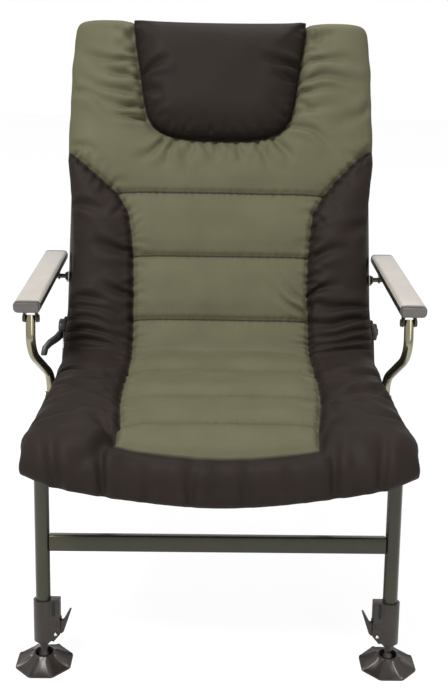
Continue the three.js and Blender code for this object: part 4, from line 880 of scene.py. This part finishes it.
def closed_cover(name, upper, lower, flat, values):
    """One closed mesh from the grids of its upper and lower covers, with its cloth coordinates."""
    count_a, count_b = upper.shape[:2]
    ring = 2 * count_b
    verts = np.concatenate([upper, lower[:, ::-1]], axis=1).reshape(-1, 3)
    faces = []
    for row in range(count_a - 1):
        for i in range(ring):
            a, b = row * ring + i, row * ring + (i + 1) % ring
            faces.append((a, b, b + ring, a + ring))
    last = (count_a - 1) * ring
    for i in range(count_b - 1):
        a, b, c, d = i, i + 1, ring - 2 - i, ring - 1 - i
        faces.append((a, d, c, b))
        faces.append((last + a, last + b, last + c, last + d))
    mesh = bpy.data.meshes.new(name)
    mesh.from_pydata(verts, [], faces)
    for key, value in values.items():
        under_side = value[:, ::-1] if key == "panel" else np.full_like(value, FAR)
        both = np.concatenate([value, under_side], axis=1)
        mesh.attributes.new(key, "FLOAT", "POINT").data.foreach_set("value", both.reshape(-1))
    place = np.concatenate([flat, flat[:, ::-1]], axis=1).reshape(-1, 2)
    layer = mesh.uv_layers.new(name="cloth")
    corners = np.empty(len(mesh.loops), dtype=int)
    mesh.loops.foreach_get("vertex_index", corners)
    layer.data.foreach_set("uv", place[corners].reshape(-1))
    for polygon in mesh.polygons:
        polygon.use_smooth = True
    return mesh


ROW_STEP = 7.0  # mm between the simulated rows, with one more row in between
COLUMNS = 165
rows = 2 * int(TOTAL / ROW_STEP) + 1
spread = np.linspace(-1, 1, COLUMNS)
spread = np.sign(spread) * (1 - (1 - np.abs(spread)) ** 1.2)
row_s = np.linspace(0, TOTAL, rows)
half = np.interp(row_s, widths[:, 0], widths[:, 1])
half += [2.2 * noise.noise(Vector((a / 33, 0.5, 0))) for a in row_s]
half -= 13 * (1 - np.sqrt(1 - np.clip(1 - (TOTAL - row_s) / 24, 0, 1) ** 2))
x = half[:, None] * spread[None, :]
s = np.repeat(row_s[:, None], COLUMNS, axis=1)
plain, drop, colour, pillow_gap, cross, count = sewn_height(x, s, half[:, None])
rim = np.clip((np.abs(spread)[None, :] - 0.93) / 0.07, 0, 1)
end_lift = np.clip(1 - np.minimum(s, TOTAL - s) / 10, 0, 1)
under = 0.34 * np.minimum(plain, PAD_THICK * 0.5) * np.maximum(rim ** 2, end_lift ** 2 * 0.9)


def laid(levels):
    """Places a grid of heights over the pad's under face."""
    return np.array([[at(*q) for q in zip(*mattress_point(x[i], row_s[i], levels[i]))]
                     for i in range(rows)])


# The bend between seat and back is rounded off, its places more than the way the cloth faces
ROUND_PLACES, ROUND_WAYS = 260, 60
upper, lifted, lower = laid(plain), laid(plain + 1), laid(under)
out = (lifted - upper) / MM
in_fold = np.clip(1.6 - np.abs(s - s_of_back(10)) / 80, 0, 1)[..., None]
upper = eased_along(upper, 0, ROUND_PLACES, in_fold)
out = eased_along(out, 0, ROUND_WAYS, in_fold)
upper = upper - out * drop[..., None] * MM
flat = np.stack([x, s], axis=2) * MM
held = np.maximum.reduce([np.exp(-(gap / 4.5) ** 2) for gap in (cross, colour, pillow_gap)])
held[pillow_gap > 4] = 1.0
held[:2] = held[-2:] = 1.0
held[:, :2] = held[:, -2:] = 1.0
upper = puffed(upper, held, 8.0, 8.0)
wander_x, wander_s = (6 * ripple(x, s, 42, 42, seed) for seed in (3.1, 8.7))
crimp = 2.0 * fold_height(x + wander_x, s + wander_s, folds)
in_brown = 1 / (1 + np.exp(np.clip(-colour, -60, 60) / 5))
crimp = crimp * np.clip(-pillow_gap / 7, 0, 1) * (1.35 + 1.1 * in_brown)
# No fold is deeper than the cloth could gather, so the seams keep their line from the side too
DEEPEST = 8.5
crimp = DEEPEST * np.tanh(crimp / DEEPEST)
off_end = np.minimum(s, TOTAL - s) / 14
off_side = (1 - np.abs(spread)[None, :]) * half[:, None] / 12
hems = np.clip(np.minimum(off_end, off_side), 0.1, 1)
upper = upper + out * (crimp * hems)[..., None] * MM
pad_mesh = closed_cover("mattress", upper, lower, flat,
                        {"panel": colour, "pillow": pillow_gap, "cross": cross, "count": count})


GATHER = {"low": 1.0, "high": 0.0, "start": 1.0, "curve": "SMOOTHSTEP"}


def gathered(tree, sewn, stretch, near):
    """Short gathers that run square to a seam and fade away from it."""
    drawn = wire(tree, "ShaderNodeMapping", {"Vector": sewn, "Scale": stretch}).outputs[0]
    return maths(tree, "MULTIPLY", noise_on(tree, 1, 3, drawn), near)


def woven(tree, sewn, rumpled, gathers, pulled):
    """The normal of gathered twill, with the strengths of its rumples and of its gathers."""
    # The ribs are 0.4 mm apart on the real cloth; they are drawn at 2.6 mm so that they show
    twill = wire(tree, "ShaderNodeTexWave", {"Vector": sewn, "Scale": 85.0},
                 bands_direction="DIAGONAL")
    rumple = wire(tree, "ShaderNodeTexNoise",
                  {"Vector": sewn, "Scale": 30.0, "Detail": 5.0, "Roughness": 0.55})
    normal = bumped(tree, twill.outputs["Fac"], 0.1, 0.0004)
    normal = bumped(tree, rumple.outputs["Fac"], rumpled, 0.004, normal)
    return bumped(tree, gathers, pulled, 0.004, normal)


cloth, tree = new_material("quilted_polyester_cloth")
panel, cross_seam, pillow_seam, seam_count = (
    wire(tree, "ShaderNodeAttribute", attribute_name=name).outputs["Fac"]
    for name in ("panel", "cross", "pillow", "count"))
sewn = wire(tree, "ShaderNodeUVMap", uv_map="cloth").outputs[0]
is_brown = maths(tree, "GREATER_THAN", panel, 0.0)
drawn = wire(tree, "ShaderNodeMapping", {"Vector": sewn, "Scale": (700.0, 30.0, 1.0)}).outputs[0]
mottle, streak = noise_on(tree, 16, 5, sewn), noise_on(tree, 1, 2, drawn)
both = wire(tree, "ShaderNodeMix", {0: 0.18, 2: mottle, 3: streak}, data_type="FLOAT")
dye = ranged(tree, both.outputs[0], 0.0, 1.0, 0.2, 0.8)
dyed = between(tree, is_brown, between(tree, dye, "#4f4d3b", "#5b5845"),
               between(tree, dye, "#1e1916", "#27201c"))
# Every seam is a thin dark line of painted shade in its valley, from the distance in mm to the
# nearest one
sides = maths(tree, "MINIMUM", maths(tree, "ABSOLUTE", panel), maths(tree, "ABSOLUTE", pillow_seam))
SEAM_SPACING = 112.0
off_seam = maths(tree, "PINGPONG", seam_count, 0.5)
seam_gap = maths(tree, "MULTIPLY", off_seam, SEAM_SPACING)
seam_far = maths(tree, "MULTIPLY_ADD", is_brown, FAR, seam_gap)
nearest = maths(tree, "MINIMUM", sides, seam_far)
seam_shade = between(tree, ranged(tree, nearest, 0.15, 1.0, 0.5, 2.6), "#1d1b18", dyed)
upright = gathered(tree, sewn, (150.0, 22.0, 1.0), ranged(tree, cross_seam, end=22.0, **GATHER))
lying = gathered(tree, sewn, (24.0, 130.0, 1.0), ranged(tree, sides, end=34.0, **GATHER))
surface(tree, Base_Color=seam_shade, Roughness=0.6, Specular_IOR_Level=0.07,
        Normal=woven(tree, sewn, 0.07, maths(tree, "ADD", upright, lying), 0.36))
mattress = show(pad_mesh, "mattress", cloth, None, "seat_pad", "fold_pad", "back_pad")
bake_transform(mattress)

# The hem is bound with a narrow olive tape that shows along the front's lower edge
tape, tree = new_material("olive_binding_tape")
surface(tree, Base_Color=between(tree, noise_on(tree, 400, 3), "#2d2a20", "#3d3a2c"),
        Roughness=0.7, Specular_IOR_Level=0.1)
HEM_TUCK = 0.988  # the tape lies a little inside the pad's sides, clear of the arm posts
hem_line = [*upper[0, ::2], *upper[2:-1:2, -1], *upper[-1, ::-2], *upper[-3:0:-2, 0], upper[0, 0]]
hem_line = [(a * HEM_TUCK, b, c) for a, b, c in hem_line]
binding = swept("hem_binding", hem_line, 1.6, tape, None)
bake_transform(binding)


# Head pillow: a brown cushion sewn into the top of the mattress, narrower towards its lower edge.
# It stands a little proud of the green round it, with a piped seam down in the valley between them.
PILLOW_RISE = 42.0
PILLOW_TOP = 553.0
PILLOW_ROWS, PILLOW_COLUMNS = 75, 101
pillow_out = BACK_OUT + PAD_THICK * (0.95 - 0.36) + 1.6
low_edge = pillow_outline[0, 1] + 0.3
spread = np.linspace(-1, 1, PILLOW_COLUMNS)
spread = np.sign(spread) * (1 - (1 - np.abs(spread)) ** 1.25)
slowed = 0.5 - 0.5 * np.cos(np.pi * np.linspace(0, 1, PILLOW_ROWS))
up_row = low_edge + (PILLOW_TOP - pillow_outline[0, 1] - 0.3) * slowed
half_row = np.maximum(np.interp(up_row, pillow_outline[:, 1], pillow_outline[:, 0]), 34)
x = half_row[:, None] * spread[None, :]
up = np.repeat(up_row[:, None], PILLOW_COLUMNS, axis=1)
hem = np.minimum(gap_to(pillow_outline, np.abs(x), up), PILLOW_TOP + 1 - up)
rise = np.clip(hem / 60, 0, 1)
height = PILLOW_RISE * (0.1 + 0.9 * np.sqrt(np.maximum(1 - (1 - rise) ** 2, 0)))
height += ripple(x, up, 90, 60, 4.4) * 2.0 * rise
top_dip = 3.0 * (1 - (x / 155) ** 2) * np.clip((up - 500) / 50, 0, 1)


def on_pillow(out):
    """Places a grid of the pillow, out from its seam by the mm of another grid."""
    grid = np.stack([x + PILLOW_MIDDLE, up - top_dip, pillow_out + out], axis=2)
    return np.array([[on_back(*point) for point in row] for row in grid])


over, under = on_pillow(height), on_pillow(np.zeros_like(height))
flat = np.stack([x, up], axis=2) * MM
held = np.exp(-(hem / 5) ** 2)
held[:2] = held[-2:] = 1.0
held[:, :2] = held[:, -2:] = 1.0
over = puffed(over, held, 6.0, 7.0)
folds = gathers(pillow_ring, 14, 34, 1.0, (-1,), 5, 0.7)
folds += [
    (-140, 446, -84, 470, 5.4, 6), (-136, 420, -98, 406, 3.6, 6), (139, 468, 72, 478, 5.6, 6),
    (137, 440, 92, 452, 4.2, 6), (-150, 545, -116, 520, 2.0, 6), (150, 545, 120, 522, 2.0, 6),
    (-122, 372, -92, 396, 2.2, 6), (122, 372, 94, 394, 2.2, 6),
]
crimp = 2.6 * fold_height(x, up, folds) * np.clip(hem / 5, 0, 1)
outward = np.array(on_back(0, 0, 1) - on_back(0, 0, 0)) / MM
over = over + outward * crimp[..., None] * MM
pillow_mesh = closed_cover("head_pillow_cover", over, under, flat, {"hem": hem})

ticking, tree = new_material("brown_polyester_cover")
hem_gap = wire(tree, "ShaderNodeAttribute", attribute_name="hem").outputs["Fac"]
sewn = wire(tree, "ShaderNodeUVMap", uv_map="cloth").outputs[0]
brown = between(tree, noise_on(tree, 16, 5, sewn), "#1c1714", "#231d19")
# Along the hem the brown darkens: painted shade in the seam's valley
seam_shade = between(tree, ranged(tree, hem_gap, 0.4, 1.0, 0.5, 3.0), "#161412", brown)
lying = gathered(tree, sewn, (30.0, 130.0, 1.0), ranged(tree, hem_gap, end=26.0, **GATHER))
surface(tree, Base_Color=seam_shade, Roughness=0.6, Specular_IOR_Level=0.07,
        Normal=woven(tree, sewn, 0.06, lying, 0.4))
pillow = show(pillow_mesh, "head_pillow_cover", ticking, "back", "head_pillow")
piping = [on_back(a + PILLOW_MIDDLE, b - (3 if b > 540 else 0), pillow_out + 1.2)
          for a, b in pillow_ring if b < 560]
swept("pillow_piping", piping, 1.7, ticking, "back")
